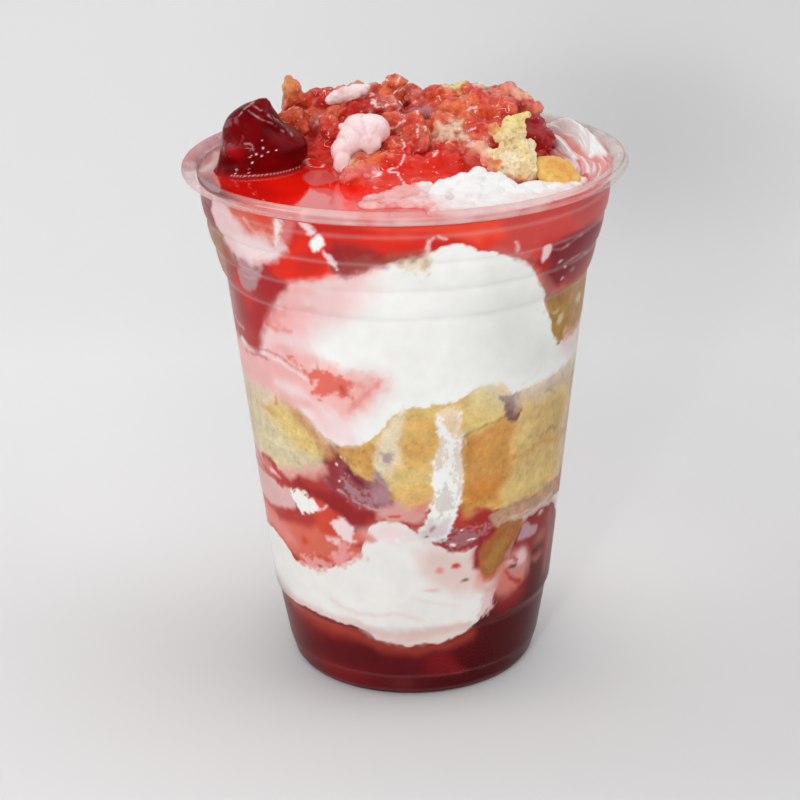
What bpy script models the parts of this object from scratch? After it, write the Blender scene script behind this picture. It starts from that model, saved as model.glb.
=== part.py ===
"""A strawberry shortcake trifle in a clear plastic cup: layers of sauce, whipped cream and cake that show
through the wall, and a heap of soaked cake, cream and one glazed strawberry above the rim.

Lengths are in millimetres in the constants and become metres in the meshes. The axis of the cup is Z and its
foot stands on z = 0. Angles on the wall are in degrees from the front, which is -Y, growing towards +X."""

import math
import random

import bmesh
import bpy
import numpy as np
from mathutils import Vector

MM = 0.001

# The cup, turned round Z.
RIM_RADIUS = 49.0
CUP_HEIGHT = 119.3
FOOT_RADIUS = 26.6
FLOOR_THICKNESS = 1.2
WALL_THICKNESS = 0.8
CUP_SEGMENTS = 44
# Outer side from the foot to the lowest stacking ring: a ring low on the heel, a step where the taper begins.
HEEL = [(27.6, 0.4), (28.4, 1.6), (29.6, 5.7), (31.2, 15.0), (31.6, 17.4), (32.4, 19.4)]
# Each band bulges out between two stacking rings (radius, height); the last reaches the roll of the rim.
STACKING_RINGS = [(40.5, 94.2), (42.5, 101.0), (44.15, 107.4), (45.2, 113.5)]
BAND_BULGE = 0.45
ROLL_CENTRE = (47.2, 117.9)
ROLL_HALF_WIDTH = RIM_RADIUS - ROLL_CENTRE[0]
ROLL_HALF_HEIGHT = CUP_HEIGHT - ROLL_CENTRE[1]
ROLL_STEPS = 6

# The contents.
GAP = 0.3
LAYER_GAP = 0.45  # measured upwards, so that slanting surfaces keep clear too
WALL_GAP = 0.35
FLOOR_LEVEL = FLOOR_THICKNESS + GAP
POOL_LEVEL = 116.4
TOPPING_FLOOR = POOL_LEVEL + 0.35
# Inside of the wall as the contents meet it (height, outer radius of the cup there), chords of its bands.
CONTENTS_PROFILE = [(0.0, 27.6), (1.6, 28.2), (5.7, 29.4), (15.0, 31.0), (19.4, 32.2), (90.0, 39.9),
                    (94.2, 40.3), (101.0, 42.3), (107.4, 43.9), (113.5, 44.8), (120.0, 44.8)]

# Columns round the axis that every layer shares: closer together at the front.
COLUMNS = np.array([*range(-75, 76, 5), *range(90, 271, 15)], float)
RING_SHARES = [0.42, 0.8]
FLAT_SHARE = 0.4  # share of the radius inside which a layer's surface no longer follows the wall

# Where two layers meet, as heights on the wall by angle, and the height in the middle of the cup.
SAUCE_TOP = ({-150: 18, -120: 17, -90: 17.5, -70: 18.8, -50: 19.2, -30: 18.6, -21: 18.2, -15: 15.4,
              -5: 14.3, 5: 14.4, 15: 15.6, 25: 18, 30: 21, 35: 27, 40: 34, 45: 39.4, 50: 41.6, 65: 41,
              75: 37, 90: 29, 120: 22, 165: 19.5}, 19.0)
LOWER_CREAM_TOP = ({-150: 35, -120: 33, -90: 32.5, -80: 34, -70: 35.6, -60: 34.8, -55: 32.6, -50: 31.2,
                    -40: 31.4, -30: 33.8, -25: 35.2, -20: 37.8, -15: 45, -10: 46.2, -5: 46.2, 0: 44.6,
                    5: 41.6, 10: 39.6, 20: 37.7, 25: 38, 35: 41, 45: 43.4, 55: 44.2, 65: 43.4, 90: 39,
                    130: 36}, 38.0)
MIDDLE_SAUCE_TOP = ({-150: 54, -120: 55, -90: 54, -75: 54, -60: 54.6, -50: 53.4, -40: 54.4, -30: 57.4,
                     -20: 57, -10: 55.4, -5: 50.6, 0: 49.2, 10: 49.4, 20: 49.4, 30: 47, 40: 46.4, 55: 46.6,
                     70: 47, 90: 49, 120: 51, 160: 52}, 51.0)
CAKE_TOP = ({-150: 75, -120: 74, -90: 73.5, -70: 73.8, -50: 73.2, -40: 70.6, -35: 68.3, -30: 66,
             -25: 64.4, -20: 64.2, -15: 65.6, -10: 68.4, -5: 72.2, 0: 73.6, 10: 74.3, 15: 74.8, 20: 76.4,
             25: 77.7, 30: 76.9, 35: 74.2, 50: 74.6, 75: 75.6, 120: 77, 165: 76.5}, 76.0)
UPPER_CREAM_TOP = ({-150: 97, -120: 92, -100: 85, -90: 82.6, -75: 82, -60: 82, -55: 86, -50: 89.4,
                    -45: 93.4, -40: 97.6, -35: 100.8, -25: 103.2, -15: 105, -5: 107.8, 5: 109.8,
                    10: 111.3, 15: 110.9, 20: 109.6, 25: 108.2, 30: 106.6, 35: 104.2, 40: 101, 45: 95.6,
                    50: 88.8, 55: 85.6, 65: 85, 80: 86, 95: 90, 115: 94, 140: 97}, 101.0)

# The four chunks of the cake layer: name, first angle, last angle.
CAKE_CHUNKS = [("cake_left", -120, -25), ("cake_centre", -25, 20), ("cake_right", 20, 105),
               ("cake_back", 105, 240)]
CHUNK_CORE_RADIUS = 1.6

# Pieces let into the wall side of the layers: outline by angle and height on the wall, and how deep they go.
WALL_PIECES = {
    "cream_drip": ([(9.6, 73), (15.5, 72.5), (17.6, 66), (17.2, 58), (16.6, 51), (14.5, 46), (12, 42.2),
                    (7.5, 41.6), (3, 42.6), (3.6, 45.6), (6.4, 49.5), (7.2, 56), (8, 64)], 2.4),
    "jam_pocket": ([(-30.6, 60), (-27.8, 63.2), (-24.5, 63.6), (-21, 62), (-18.8, 58.6), (-11, 57.4),
                    (-8.6, 54), (-9, 50.6), (-15, 49.6), (-22, 50.4), (-28.5, 52.6), (-31.6, 56)], 7.0),
    "pink_cream_left": ([(-108, 46.6), (-95, 43.4), (-78, 42.4), (-62, 43), (-53, 45.4), (-50.6, 47.6),
                         (-56, 49.4), (-72, 50.2), (-95, 50.4)], 5.0),
    "cream_fleck": ([(-47.6, 48), (-44, 50), (-38.5, 49.4), (-35, 47), (-38, 44.8), (-43, 44.2),
                     (-46.4, 45.6)], 3.0),
    "small_cake": ([(24.6, 36), (27.4, 39.4), (32.5, 41.6), (39, 42.2), (44.6, 41), (45, 39), (40.5, 36.6),
                    (36, 32.6), (31.8, 29.8), (28.4, 30.2), (25.6, 33)], 7.0),
    "cream_patch": ([(36.8, 30.6), (40, 33.4), (45.6, 34.2), (50, 31.6), (51.6, 28), (48.4, 25),
                     (42.6, 24.4), (38, 26.8)], 4.5),
    "upper_left_cake": ([(-104, 98.6), (-92, 95.4), (-77, 95), (-66, 96.6), (-60, 99.4), (-59.6, 102.6),
                         (-62.6, 106.4), (-70, 108.6), (-82, 107.4), (-96, 103.6)], 9.0),
    "cream_smear": ([(-58.6, 106), (-54, 103.4), (-48.6, 103.8), (-41, 106.6), (-34.6, 109.4),
                     (-36.4, 112.2), (-45, 113.6), (-54.5, 113.6), (-58.6, 110.4)], 4.0),
    "upper_right_cake": ([(48.6, 93.4), (54, 95), (66, 94.8), (82, 95.2), (95, 93), (99, 89.4), (92, 84.4),
                          (76, 82.4), (62, 82.4), (54.6, 83.6), (51.2, 87.6)], 9.0),
}
WALL_PIECE_POINTS = 22
# Which pieces each layer or chunk is cut round.
LET_INTO = {
    "bottom_sauce": ["small_cake", "cream_patch"],
    "lower_cream": ["small_cake", "cream_patch", "cream_drip"],
    "middle_sauce": ["cream_drip", "jam_pocket", "pink_cream_left", "cream_fleck", "small_cake"],
    "cake_left": ["jam_pocket"],
    "cake_centre": ["jam_pocket", "cream_drip"],
    "upper_cream": ["cream_drip", "upper_right_cake"],
    "top_sauce": ["upper_left_cake", "cream_smear", "upper_right_cake"],
}

# The heap of soaked cake: how far its core reaches from its centre by angle from +X.
HEAP_CENTRE = (2.0, 8.0)
HEAP_REACH = {0: 29, 30: 28, 60: 28, 90: 29, 120: 33, 150: 35, 166: 31, 180: 20, 200: 18, 225: 22, 246: 26,
              260: 27, 272: 24, 285: 22, 307: 20, 325: 22, 345: 28}
HEAP_CORE_HEIGHT = 3.4
HEAP_ANGLE_STEP = 9.0
HEAP_FOOT_SHARE = 0.97
HEAP_SHARES = [1.0, 0.94, 0.84, 0.73, 0.62, 0.5, 0.38, 0.26, 0.13]
# At its edge the core is this share of its height, and it reaches full height this far in.
HEAP_EDGE = 0.12
HEAP_SLOPE = 0.16
# Each lump: x, y and height of its centre, radius, upward stretch. Lumps are relief on the core, peaks stand
# out from it.
HEAP_LUMPS = [
    (-19, 24, 120.6, 7.0, 1.0), (-11, 23, 122.0, 7.4, 1.0), (-4, 15, 121.6, 8.0, 1.0), (6, 19, 122.6, 7.6, 1.0),
    (16, 18, 122.8, 8.0, 1.0), (24, 14, 123.6, 6.6, 1.0), (17, 9, 122.6, 7.0, 1.0), (11, 3, 121.2, 6.6, 1.0),
    (-1, 5, 121.0, 6.6, 1.0), (1, -2, 119.4, 6.0, 1.0), (20, 1, 120.6, 6.0, 1.0), (-16, 12, 120.6, 5.6, 1.0),
    (-8, -9, 116.8, 5.6, 1.0), (4, -8, 116.4, 5.4, 1.0), (13, -4, 117.4, 5.4, 1.0), (28, 4, 120.8, 5.2, 1.0),
    (8, 30, 119.4, 7.0, 1.0), (-8, 31, 118.8, 6.6, 1.0), (22, 25, 119.4, 6.4, 1.0),
]
HEAP_PEAKS = [
    (-25.2, 25.0, 121.4, 4.6, 1.1), (-25.5, 25.0, 127.2, 2.6, 1.7), (-24.6, 14.4, 121.4, 4.8, 0.9),
    (-2.2, 21.0, 128.6, 4.2, 1.08), (-14.5, 24.0, 125.0, 4.4, 1.0), (13.0, 20.0, 126.6, 4.4, 1.0),
    (20.4, 18.0, 126.6, 4.4, 1.0), (25.4, 13.6, 126.2, 4.6, 1.0), (14.0, 8.0, 124.8, 5.6, 0.9),
    (29.4, 3.6, 121.4, 4.2, 1.0),
]
LUMP_ROUGHNESS = 0.12

# The strawberry: middle of its base, half length and half width there, how its length is turned, and its tip.
STRAWBERRY_BASE = (-32.2, 0.6)
STRAWBERRY_HALF = (10.4, 8.0)
STRAWBERRY_TURN = 30.0
STRAWBERRY_TIP = (-30.3, -2.0, 132.7)
STRAWBERRY_LEAN = 1.6
STRAWBERRY_SIDES = 20
# Its form: share of its height, size against the base, and how far its middle stands to the left there.
STRAWBERRY_FORM = [(0, 1.02, 0), (0.17, 1.0, 1.0), (0.335, 0.98, 1.3), (0.457, 0.88, 0.4), (0.56, 0.75, -0.8),
                   (0.67, 0.63, -1.7), (0.774, 0.53, -2.0), (0.854, 0.42, -1.8), (0.92, 0.32, -1.4),
                   (0.97, 0.2, -0.6)]
# The other toppings: centre, half sizes along X, Y and Z.
DOLLOPS = {
    "back_dollop": ((-12.4, 13.0, 129.9), (5.3, 2.6, 2.2)),
    "front_dollop": ((-9.6, -4.8, 123.1), (6.6, 4.9, 5.2)),
}
PLAIN_CRUMBS = [((22.8, -13.6, 120.4), (6.0, 4.6, 4.1)), ((23.0, -11.8, 126.8), (3.9, 2.8, 4.5))]
# The wedge of crust: outline in plan, then height of its top at the middle, its rise along Y and its thickness.
WEDGE_OUTLINE = [(28.4, -11.4), (31.2, -10.8), (34.0, -11.6), (36.8, -14.2), (37.8, -17.6), (36.4, -20.8),
                 (33.4, -22.6), (30.4, -20.4), (28.2, -15.4)]
WEDGE_TOP = 119.2
WEDGE_RISE = 0.335
WEDGE_THICKNESS = 2.4
WEDGE_EDGE = 0.8
# Creams on the pool that follow the rim: inner and outer radius, height above the pool by angle, and how far
# the crest is shifted towards the rim (1 leaves it in the middle).
FRONT_CREAM = (25.0, 43.6, {-12: 0.5, 0: 1.4, 14: 2.0, 32: 1.6, 51: 0.9}, 1.0)
FRONT_CREAM_LUMPS = [((12.8, -27.0, 118.9), (6.6, 5.4, 3.1)), ((19.6, -26.2, 118.3), (4.8, 4.0, 2.2)),
                     ((7.4, -28.4, 117.9), (4.2, 4.2, 1.8)), ((27.0, -25.6, 117.5), (3.6, 3.0, 1.4))]
BACK_CREAM = (33.0, 43.9, {54: 0.9, 70: 1.2, 84: 1.3, 91: 1.8, 100: 4.2, 114: 5.4, 124: 4.4, 132: 2.6,
                           140: 1.2}, 2.0)
CREAM_STATIONS = 15
CREAM_BASE = 0.5
CREAM_UNEVENNESS = 0.08

COLOURS = {
    "clear_plastic": ((0.86, 0.88, 0.89), 0.12),
    "dark_sauce": ((0.115, 0.004, 0.008), 0.25),
    "red_sauce": ((0.52, 0.008, 0.008), 0.2),
    "jam": ((0.20, 0.03, 0.055), 0.35),
    "white_cream": ((0.88, 0.86, 0.83), 0.6),
    "pink_cream": ((0.82, 0.46, 0.46), 0.5),
    "cake": ((0.72, 0.47, 0.15), 0.85),
    "plain_cake": ((0.80, 0.62, 0.32), 0.9),
    "soaked_cake": ((0.50, 0.06, 0.045), 0.45),
    "strawberry": ((0.14, 0.002, 0.006), 0.15),
}


def clear_scene():
    for obj in list(bpy.data.objects):
        bpy.data.objects.remove(obj, do_unlink=True)


def material(name):
    """The named material, made once from its colour and roughness."""
    made = bpy.data.materials.get(name)
    if made is None:
        colour, roughness = COLOURS[name]
        made = bpy.data.materials.new(name)
        made.use_nodes = True
        shader = made.node_tree.nodes["Principled BSDF"]
        shader.inputs["Base Color"].default_value = (*colour, 1.0)
        shader.inputs["Roughness"].default_value = roughness
        shader.inputs["Metallic"].default_value = 0.0
    return made


def make_object(name, points, faces, material_name):
    """One object from points in millimetres; its faces are turned outwards."""
    mesh = bpy.data.meshes.new(name)
    mesh.from_pydata([tuple(p) for p in np.asarray(points, float) * MM], [], [tuple(f) for f in faces])
    shape = bmesh.new()
    shape.from_mesh(mesh)
    bmesh.ops.recalc_face_normals(shape, faces=shape.faces)
    shape.to_mesh(mesh)
    shape.free()
    mesh.shade_smooth()
    mesh.materials.append(material(material_name))
    obj = bpy.data.objects.new(name, mesh)
    bpy.context.scene.collection.objects.link(obj)
    return obj


def hide_helper(obj):
    obj.hide_render = True
    obj.display_type = "WIRE"


def cut(obj, cutter):
    """Takes the cutter's space out of the object."""
    hide_helper(cutter)
    change = obj.modifiers.new(f"cut_{cutter.name}", "BOOLEAN")
    change.operation = "DIFFERENCE"
    change.solver = "EXACT"
    change.object = cutter


def on_wall(angle, radius, height):
    """Points at this angle from the front, radius and height, as an array of x, y, z."""
    turn = np.radians(angle)
    return np.stack(np.broadcast_arrays(radius * np.sin(turn), -radius * np.cos(turn), height), axis=-1)


def contents_radius(height):
    heights, radii = zip(*CONTENTS_PROFILE)
    return np.interp(height, heights, radii) - WALL_THICKNESS - WALL_GAP


def round_curve(knots, angle):
    """A curve through the knots of a full turn that never swings past them: cubic pieces whose slope at a
    knot is the harmonic mean of its neighbours' slopes, or zero at a peak."""
    at = np.array(sorted(knots), float)
    value = np.array([knots[key] for key in sorted(knots)], float)
    at = np.concatenate([at - 360, at, at + 360])
    value = np.tile(value, 3)
    step = np.diff(at)
    slope = np.diff(value) / step
    before, after = slope[:-1], slope[1:]
    same_way = before * after > 0
    inner = np.where(same_way, 2 * before * after / np.where(same_way, before + after, 1), 0)
    tangent = np.concatenate([[0], inner, [0]])
    piece = np.clip(np.searchsorted(at, angle, side="right") - 1, 0, len(step) - 1)
    share = (angle - at[piece]) / step[piece]
    run = step[piece]
    return (value[piece] * (1 + 2 * share) * (1 - share) ** 2
            + value[piece + 1] * share ** 2 * (3 - 2 * share)
            + run * tangent[piece] * share * (1 - share) ** 2
            - run * tangent[piece + 1] * share ** 2 * (1 - share))


def smooth_step(share):
    share = np.clip(share, 0, 1)
    return share * share * (3 - 2 * share)


def level(surface, angle, share):
    """Height of a layer's surface at an angle and a share of the radius: the wall's curve outside, easing
    into the middle's height towards the axis."""
    knots, middle = surface
    weight = smooth_step((share - FLAT_SHARE) / (1 - FLAT_SHARE))
    return middle + (round_curve(knots, angle) - middle) * weight


def flat(height):
    return ({0: height, 180: height}, height)


def heights_between(low, high, angle, share):
    """Bottom and top of a layer there; the gap lies between its top and the layer above."""
    return level(low, angle, share), level(high, angle, share) - LAYER_GAP


def layer(name, low, high, rows, material_name):
    """A layer that fills the cup from wall to wall: rings of points on its underside, rows up the wall, rings
    on its top, and a point on the axis at each end."""
    angle = COLUMNS
    bottom, top = heights_between(low, high, angle, 1.0)
    rings = []
    for share in RING_SHARES:
        inner_bottom, _ = heights_between(low, high, angle, share)
        rings.append(on_wall(angle, share * contents_radius(bottom), inner_bottom))
    for row in np.linspace(0, 1, rows):
        height = bottom + (top - bottom) * row
        rings.append(on_wall(angle, contents_radius(height), height))
    for share in reversed(RING_SHARES):
        _, inner_top = heights_between(low, high, angle, share)
        rings.append(on_wall(angle, share * contents_radius(top), inner_top))
    ends = [(0, 0, value[0]) for value in heights_between(low, high, np.zeros(1), 0.0)]
    return lathe_like(name, rings, ends, material_name, turn_from=len(rings) - len(RING_SHARES) - 1)


def lathe_like(name, rings, ends, material_name, turn_from=None):
    """A closed body from rings of equally many points and one end point before and one after them. From the
    ring turn_from on, the diagonals turn over, so that a layer's top has the same ones as the next one's
    underside."""
    count = len(rings[0])
    points = np.concatenate([*rings, np.array(ends, float)])
    first, last = len(points) - 2, len(points) - 1
    faces = []
    for i in range(count):
        j = (i + 1) % count
        for k in range(len(rings) - 1):
            a, b, c, d = k * count + i, k * count + j, (k + 1) * count + j, (k + 1) * count + i
            if turn_from is not None and k >= turn_from:
                faces += [(a, b, d), (b, c, d)]
            else:
                faces += [(a, b, c), (a, c, d)]
        top = (len(rings) - 1) * count
        faces.append((first, j, i))
        faces.append((last, top + i, top + j))
    return make_object(name, points, faces, material_name)


def block(name, points, material_name):
    """A closed body from a lattice of points, of which only the faces on the outside are made."""
    sizes = points.shape[:3]
    index = np.arange(np.prod(sizes)).reshape(sizes)
    faces = []
    for axis in range(3):
        for side in (0, -1):
            sheet = np.take(index, side, axis=axis)
            for i in range(sheet.shape[0] - 1):
                for j in range(sheet.shape[1] - 1):
                    a, b, c, d = sheet[i, j], sheet[i + 1, j], sheet[i + 1, j + 1], sheet[i, j + 1]
                    faces += [(a, b, c), (a, c, d)]
    used = sorted({int(v) for face in faces for v in face})
    place = {old: new for new, old in enumerate(used)}
    flat_points = points.reshape(-1, 3)[used]
    return make_object(name, flat_points, [[place[int(v)] for v in face] for face in faces], material_name)


def cake_chunk(name, first, last):
    """A sector of the cake layer, its two flat sides half a gap back from the planes through the axis."""
    shares = [0.0, *RING_SHARES, 1.0]
    columns = np.concatenate([COLUMNS - 360, COLUMNS])
    turns = columns[(columns >= first) & (columns <= last)]
    rows = np.linspace(0, 1, 4)
    lattice = np.empty((len(turns), len(shares), len(rows), 3))
    for j, share in enumerate(shares):
        bottom, top = heights_between(MIDDLE_SAUCE_TOP, CAKE_TOP, turns, share)
        for k, row in enumerate(rows):
            height = bottom + (top - bottom) * row
            radius = np.maximum(CHUNK_CORE_RADIUS, share * contents_radius(height))
            inset = np.degrees(np.arcsin(0.5 * GAP / radius))
            angle = np.clip(turns, first + inset, last - inset)
            lattice[:, j, k] = on_wall(angle, radius, height)
    return block(name, lattice, "cake")


def closed_outline(points, count, grow=0.0):
    """The closed smooth curve through points of angle and height, sampled count times, and moved outwards by
    grow millimetres along the wall."""
    points = np.array(points, float)
    size = len(points)
    share = np.arange(count) * size / count
    i = share.astype(int)
    t = (share - i)[:, None]
    a, b, c, d = (points[(i + k) % size] for k in (-1, 0, 1, 2))
    curve = 0.5 * (2 * b + (c - a) * t + (2 * a - 5 * b + 4 * c - d) * t ** 2
                   + (3 * b - a - 3 * c + d) * t ** 3)
    if grow:
        per_degree = math.radians(1) * contents_radius(curve[:, 1])
        along = np.roll(curve, -1, axis=0) - np.roll(curve, 1, axis=0)
        along[:, 0] *= per_degree
        out = np.stack([along[:, 1], -along[:, 0]], axis=1)
        out /= np.linalg.norm(out, axis=1)[:, None]
        flat_curve = np.stack([curve[:, 0] * per_degree, curve[:, 1]], axis=1)
        after = np.roll(flat_curve, -1, axis=0)
        area = np.sum(flat_curve[:, 0] * after[:, 1] - after[:, 0] * flat_curve[:, 1])
        out *= grow if area > 0 else -grow
        curve = curve + np.stack([out[:, 0] / per_degree, out[:, 1]], axis=1)
    return curve


def wall_piece(name, outline, depth, material_name, grow=0.0, proud=0.0):
    """A piece behind the wall: its outline carried inwards from the wall by its depth, narrowing a little."""
    curve = closed_outline(outline, WALL_PIECE_POINTS, grow)
    middle = curve.mean(axis=0)
    rings = []
    for share, inward in ((0.5, 0.0), (1.0, 0.0), (1.0, depth + grow)):
        at = middle + (curve - middle) * share
        if inward:
            rings.append(on_wall(at[:, 0], contents_radius(at[:, 1]) - inward, at[:, 1]))
        else:
            rings.append(on_wall(at[:, 0], contents_radius(at[:, 1]) + proud, at[:, 1]))
    radius = contents_radius(middle[1])
    ends = [on_wall(middle[0], radius + proud, middle[1]), on_wall(middle[0], radius - depth - grow, middle[1])]
    return lathe_like(name, rings, ends, material_name)


def cup_profile():
    """Radius and height along the section: up the outside, over the roll of the rim, down the inside."""
    outside = [(FOOT_RADIUS, 0.0), *HEEL]
    for (r0, z0), (r1, z1) in zip(STACKING_RINGS, STACKING_RINGS[1:]):
        outside.append((r0, z0))
        for share, bulge in ((0.28, 1.0), (0.75, 0.8)):
            outside.append((r0 + (r1 - r0) * share + BAND_BULGE * bulge, z0 + (z1 - z0) * share))
    outside.append(STACKING_RINGS[-1])
    inside = [(r - WALL_THICKNESS, z) for r, z in reversed(outside) if z > FLOOR_THICKNESS + 0.2]
    roll = []
    for angle in np.linspace(math.radians(-130), math.radians(165), ROLL_STEPS):
        roll.append((ROLL_CENTRE[0] + ROLL_HALF_WIDTH * math.cos(angle),
                     ROLL_CENTRE[1] + ROLL_HALF_HEIGHT * math.sin(angle)))
    return outside + roll + inside + [(FOOT_RADIUS, FLOOR_THICKNESS)]


def build_cup():
    angle = np.arange(CUP_SEGMENTS) * 360 / CUP_SEGMENTS
    rings = [on_wall(angle, radius, height) for radius, height in cup_profile()]
    return lathe_like("cup", rings, [(0, 0, 0.0), (0, 0, FLOOR_THICKNESS)], "clear_plastic")


def build_layers():
    """The full layers from the floor up, and the cake layer in its chunks."""
    made = {
        "bottom_sauce": layer("bottom_sauce", flat(FLOOR_LEVEL), SAUCE_TOP, 5, "dark_sauce"),
        "lower_cream": layer("lower_cream", SAUCE_TOP, LOWER_CREAM_TOP, 3, "white_cream"),
        "middle_sauce": layer("middle_sauce", LOWER_CREAM_TOP, MIDDLE_SAUCE_TOP, 3, "red_sauce"),
        "upper_cream": layer("upper_cream", CAKE_TOP, UPPER_CREAM_TOP, 5, "white_cream"),
        "top_sauce": layer("top_sauce", UPPER_CREAM_TOP, flat(POOL_LEVEL + LAYER_GAP), 6, "red_sauce"),
    }
    for name, first, last in CAKE_CHUNKS:
        made[name] = cake_chunk(name, first, last)
    return made


def build_wall_pieces(layers):
    """The pieces let into the layers, and the room for each cut out of them."""
    looks = {"cream_drip": "white_cream", "jam_pocket": "jam", "pink_cream_left": "pink_cream",
             "cream_fleck": "white_cream", "small_cake": "cake", "cream_patch": "pink_cream",
             "upper_left_cake": "cake", "cream_smear": "pink_cream", "upper_right_cake": "cake"}
    rooms = {}
    for name, (outline, depth) in WALL_PIECES.items():
        wall_piece(name, outline, depth, looks[name])
        rooms[name] = wall_piece(f"room_{name}", outline, depth, looks[name], grow=GAP, proud=2.0)
        hide_helper(rooms[name])
    for name, pieces in LET_INTO.items():
        for piece in pieces:
            cut(layers[name], rooms[piece])


def rough_ball(name, centre, half, material_name, roughness, seed, grow=0.0):
    """A ball with the half sizes given, each point moved out or in by a few smooth waves. Nothing of it lies
    below the floor of the toppings."""
    draw = random.Random(seed)
    ball = bmesh.new()
    bmesh.ops.create_icosphere(ball, subdivisions=2, radius=1.0)
    waves = [(Vector([draw.gauss(0, 1) for _ in range(3)]).normalized() * draw.uniform(2.0, 4.2),
              draw.uniform(0, math.tau)) for _ in range(6)]
    points, faces = [], [[v.index for v in face.verts] for face in ball.faces]
    for vertex in ball.verts:
        way = vertex.co.normalized()
        swell = 1 + roughness * sum(math.sin(way.dot(wave) + phase) for wave, phase in waves) / 2.2
        spot = [centre[k] + way[k] * (half[k] * swell + grow) for k in range(3)]
        points.append((spot[0], spot[1], max(spot[2], TOPPING_FLOOR - grow)))
    ball.free()
    return make_object(name, points, faces, material_name)


def fuse(obj, others):
    """Joins the other objects to this one with one union over a collection, and removes them."""
    group = bpy.data.collections.new(f"{obj.name}_parts")
    bpy.context.scene.collection.children.link(group)
    for other in others:
        bpy.context.scene.collection.objects.unlink(other)
        group.objects.link(other)
    union = obj.modifiers.new("fuse", "BOOLEAN")
    union.operation = "UNION"
    union.solver = "EXACT"
    union.operand_type = "COLLECTION"
    union.collection = group
    bpy.context.view_layer.objects.active = obj
    bpy.context.view_layer.update()
    graph = bpy.context.evaluated_depsgraph_get()
    mesh = bpy.data.meshes.new_from_object(obj.evaluated_get(graph))
    obj.modifiers.clear()
    obj.data = mesh
    mesh.name = obj.name
    for other in others:
        bpy.data.objects.remove(other, do_unlink=True)
    bpy.data.collections.remove(group)


def heap_height(x, y):
    """Height of the core there: the highest of a plain level and the caps of the lumps."""
    height = np.full(np.shape(x), TOPPING_FLOOR + HEAP_CORE_HEIGHT)
    for cx, cy, cz, radius, stretch in HEAP_LUMPS:
        across = radius ** 2 - (x - cx) ** 2 - (y - cy) ** 2
        height = np.maximum(height, np.where(across > 0, cz + stretch * np.sqrt(np.maximum(across, 0)), 0))
    return height


def heap_core():
    """The heap under its peaks: rings round its centre, each ring a share of its reach, as high as the lumps
    make it and falling to the pool at the edge."""
    angle = np.arange(0, 360, HEAP_ANGLE_STEP)
    turn = np.radians(angle)
    reach = round_curve(HEAP_REACH, angle)
    rings = []
    for share in (HEAP_FOOT_SHARE, *HEAP_SHARES):
        x = HEAP_CENTRE[0] + share * reach * np.cos(turn)
        y = HEAP_CENTRE[1] + share * reach * np.sin(turn)
        rise = HEAP_EDGE + (1 - HEAP_EDGE) * smooth_step((1.0 - share) / HEAP_SLOPE) if rings else 0.0
        rings.append(np.stack([x, y, TOPPING_FLOOR + (heap_height(x, y) - TOPPING_FLOOR) * rise], axis=1))
    x, y = HEAP_CENTRE
    ends = [(x, y, TOPPING_FLOOR), (x, y, float(heap_height(x, y)))]
    return lathe_like("crumb_heap", rings, ends, "soaked_cake")


def build_heap():
    heap = heap_core()
    peaks = []
    for number, (x, y, z, radius, stretch) in enumerate(HEAP_PEAKS):
        half = (radius, radius, radius * stretch)
        peaks.append(rough_ball(f"peak_{number}", (x, y, z), half, "soaked_cake", LUMP_ROUGHNESS,
                                seed=100 + number))
    fuse(heap, peaks)
    return heap


def build_strawberry(name, grow=0.0):
    """Rings from the base to the tip: each an ellipse turned in plan, sized and set aside as the form's table
    says, its centre easing over to the tip."""
    turn = math.radians(STRAWBERRY_TURN)
    around = np.arange(STRAWBERRY_SIDES) * math.tau / STRAWBERRY_SIDES
    rings = []
    for share, size, left in STRAWBERRY_FORM:
        lean = share ** STRAWBERRY_LEAN
        along = (STRAWBERRY_HALF[0] * size + grow) * np.cos(around)
        across = (STRAWBERRY_HALF[1] * size + grow) * np.sin(around)
        x = STRAWBERRY_BASE[0] + (STRAWBERRY_TIP[0] - STRAWBERRY_BASE[0]) * lean + left
        y = STRAWBERRY_BASE[1] + (STRAWBERRY_TIP[1] - STRAWBERRY_BASE[1]) * lean
        z = TOPPING_FLOOR - grow + (STRAWBERRY_TIP[2] - TOPPING_FLOOR + 2 * grow) * share
        rings.append(np.stack([x + along * math.cos(turn) - across * math.sin(turn),
                               y + along * math.sin(turn) + across * math.cos(turn),
                               np.full(len(around), z)], axis=1))
    ends = [(*STRAWBERRY_BASE, TOPPING_FLOOR - grow), (*STRAWBERRY_TIP[:2], STRAWBERRY_TIP[2] + grow)]
    return lathe_like(name, rings, ends, "strawberry")


def rim_cream(name, cream, seed, grow=0.0):
    """Cream lying on the pool along the rim: a low ridge whose section is a half wave with its crest shifted
    outwards, and whose height changes along it; grow makes it larger on all sides."""
    inner, outer, heights, shift = cream
    draw = random.Random(seed)
    turns = np.linspace(min(heights), max(heights), CREAM_STATIONS)
    middle = 0.5 * (inner + outer)
    wider = math.degrees(grow / middle) * np.sign(turns - turns.mean())
    shares = np.linspace(0, 1, 6)
    radius = middle + (0.5 * (outer - inner) + grow) * (2 * shares - 1)
    lattice = np.empty((len(turns), len(shares), 2, 3))
    for i, height in enumerate(np.interp(turns, list(heights), list(heights.values()))):
        uneven = 1 + draw.uniform(-CREAM_UNEVENNESS, CREAM_UNEVENNESS)
        top = TOPPING_FLOOR + CREAM_BASE + grow + height * uneven * np.sin(np.pi * shares ** shift)
        lattice[i, :, 0] = on_wall(turns[i] + wider[i], radius, TOPPING_FLOOR - grow)
        lattice[i, :, 1] = on_wall(turns[i] + wider[i], radius, top)
    return block(name, lattice, "white_cream")


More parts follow.
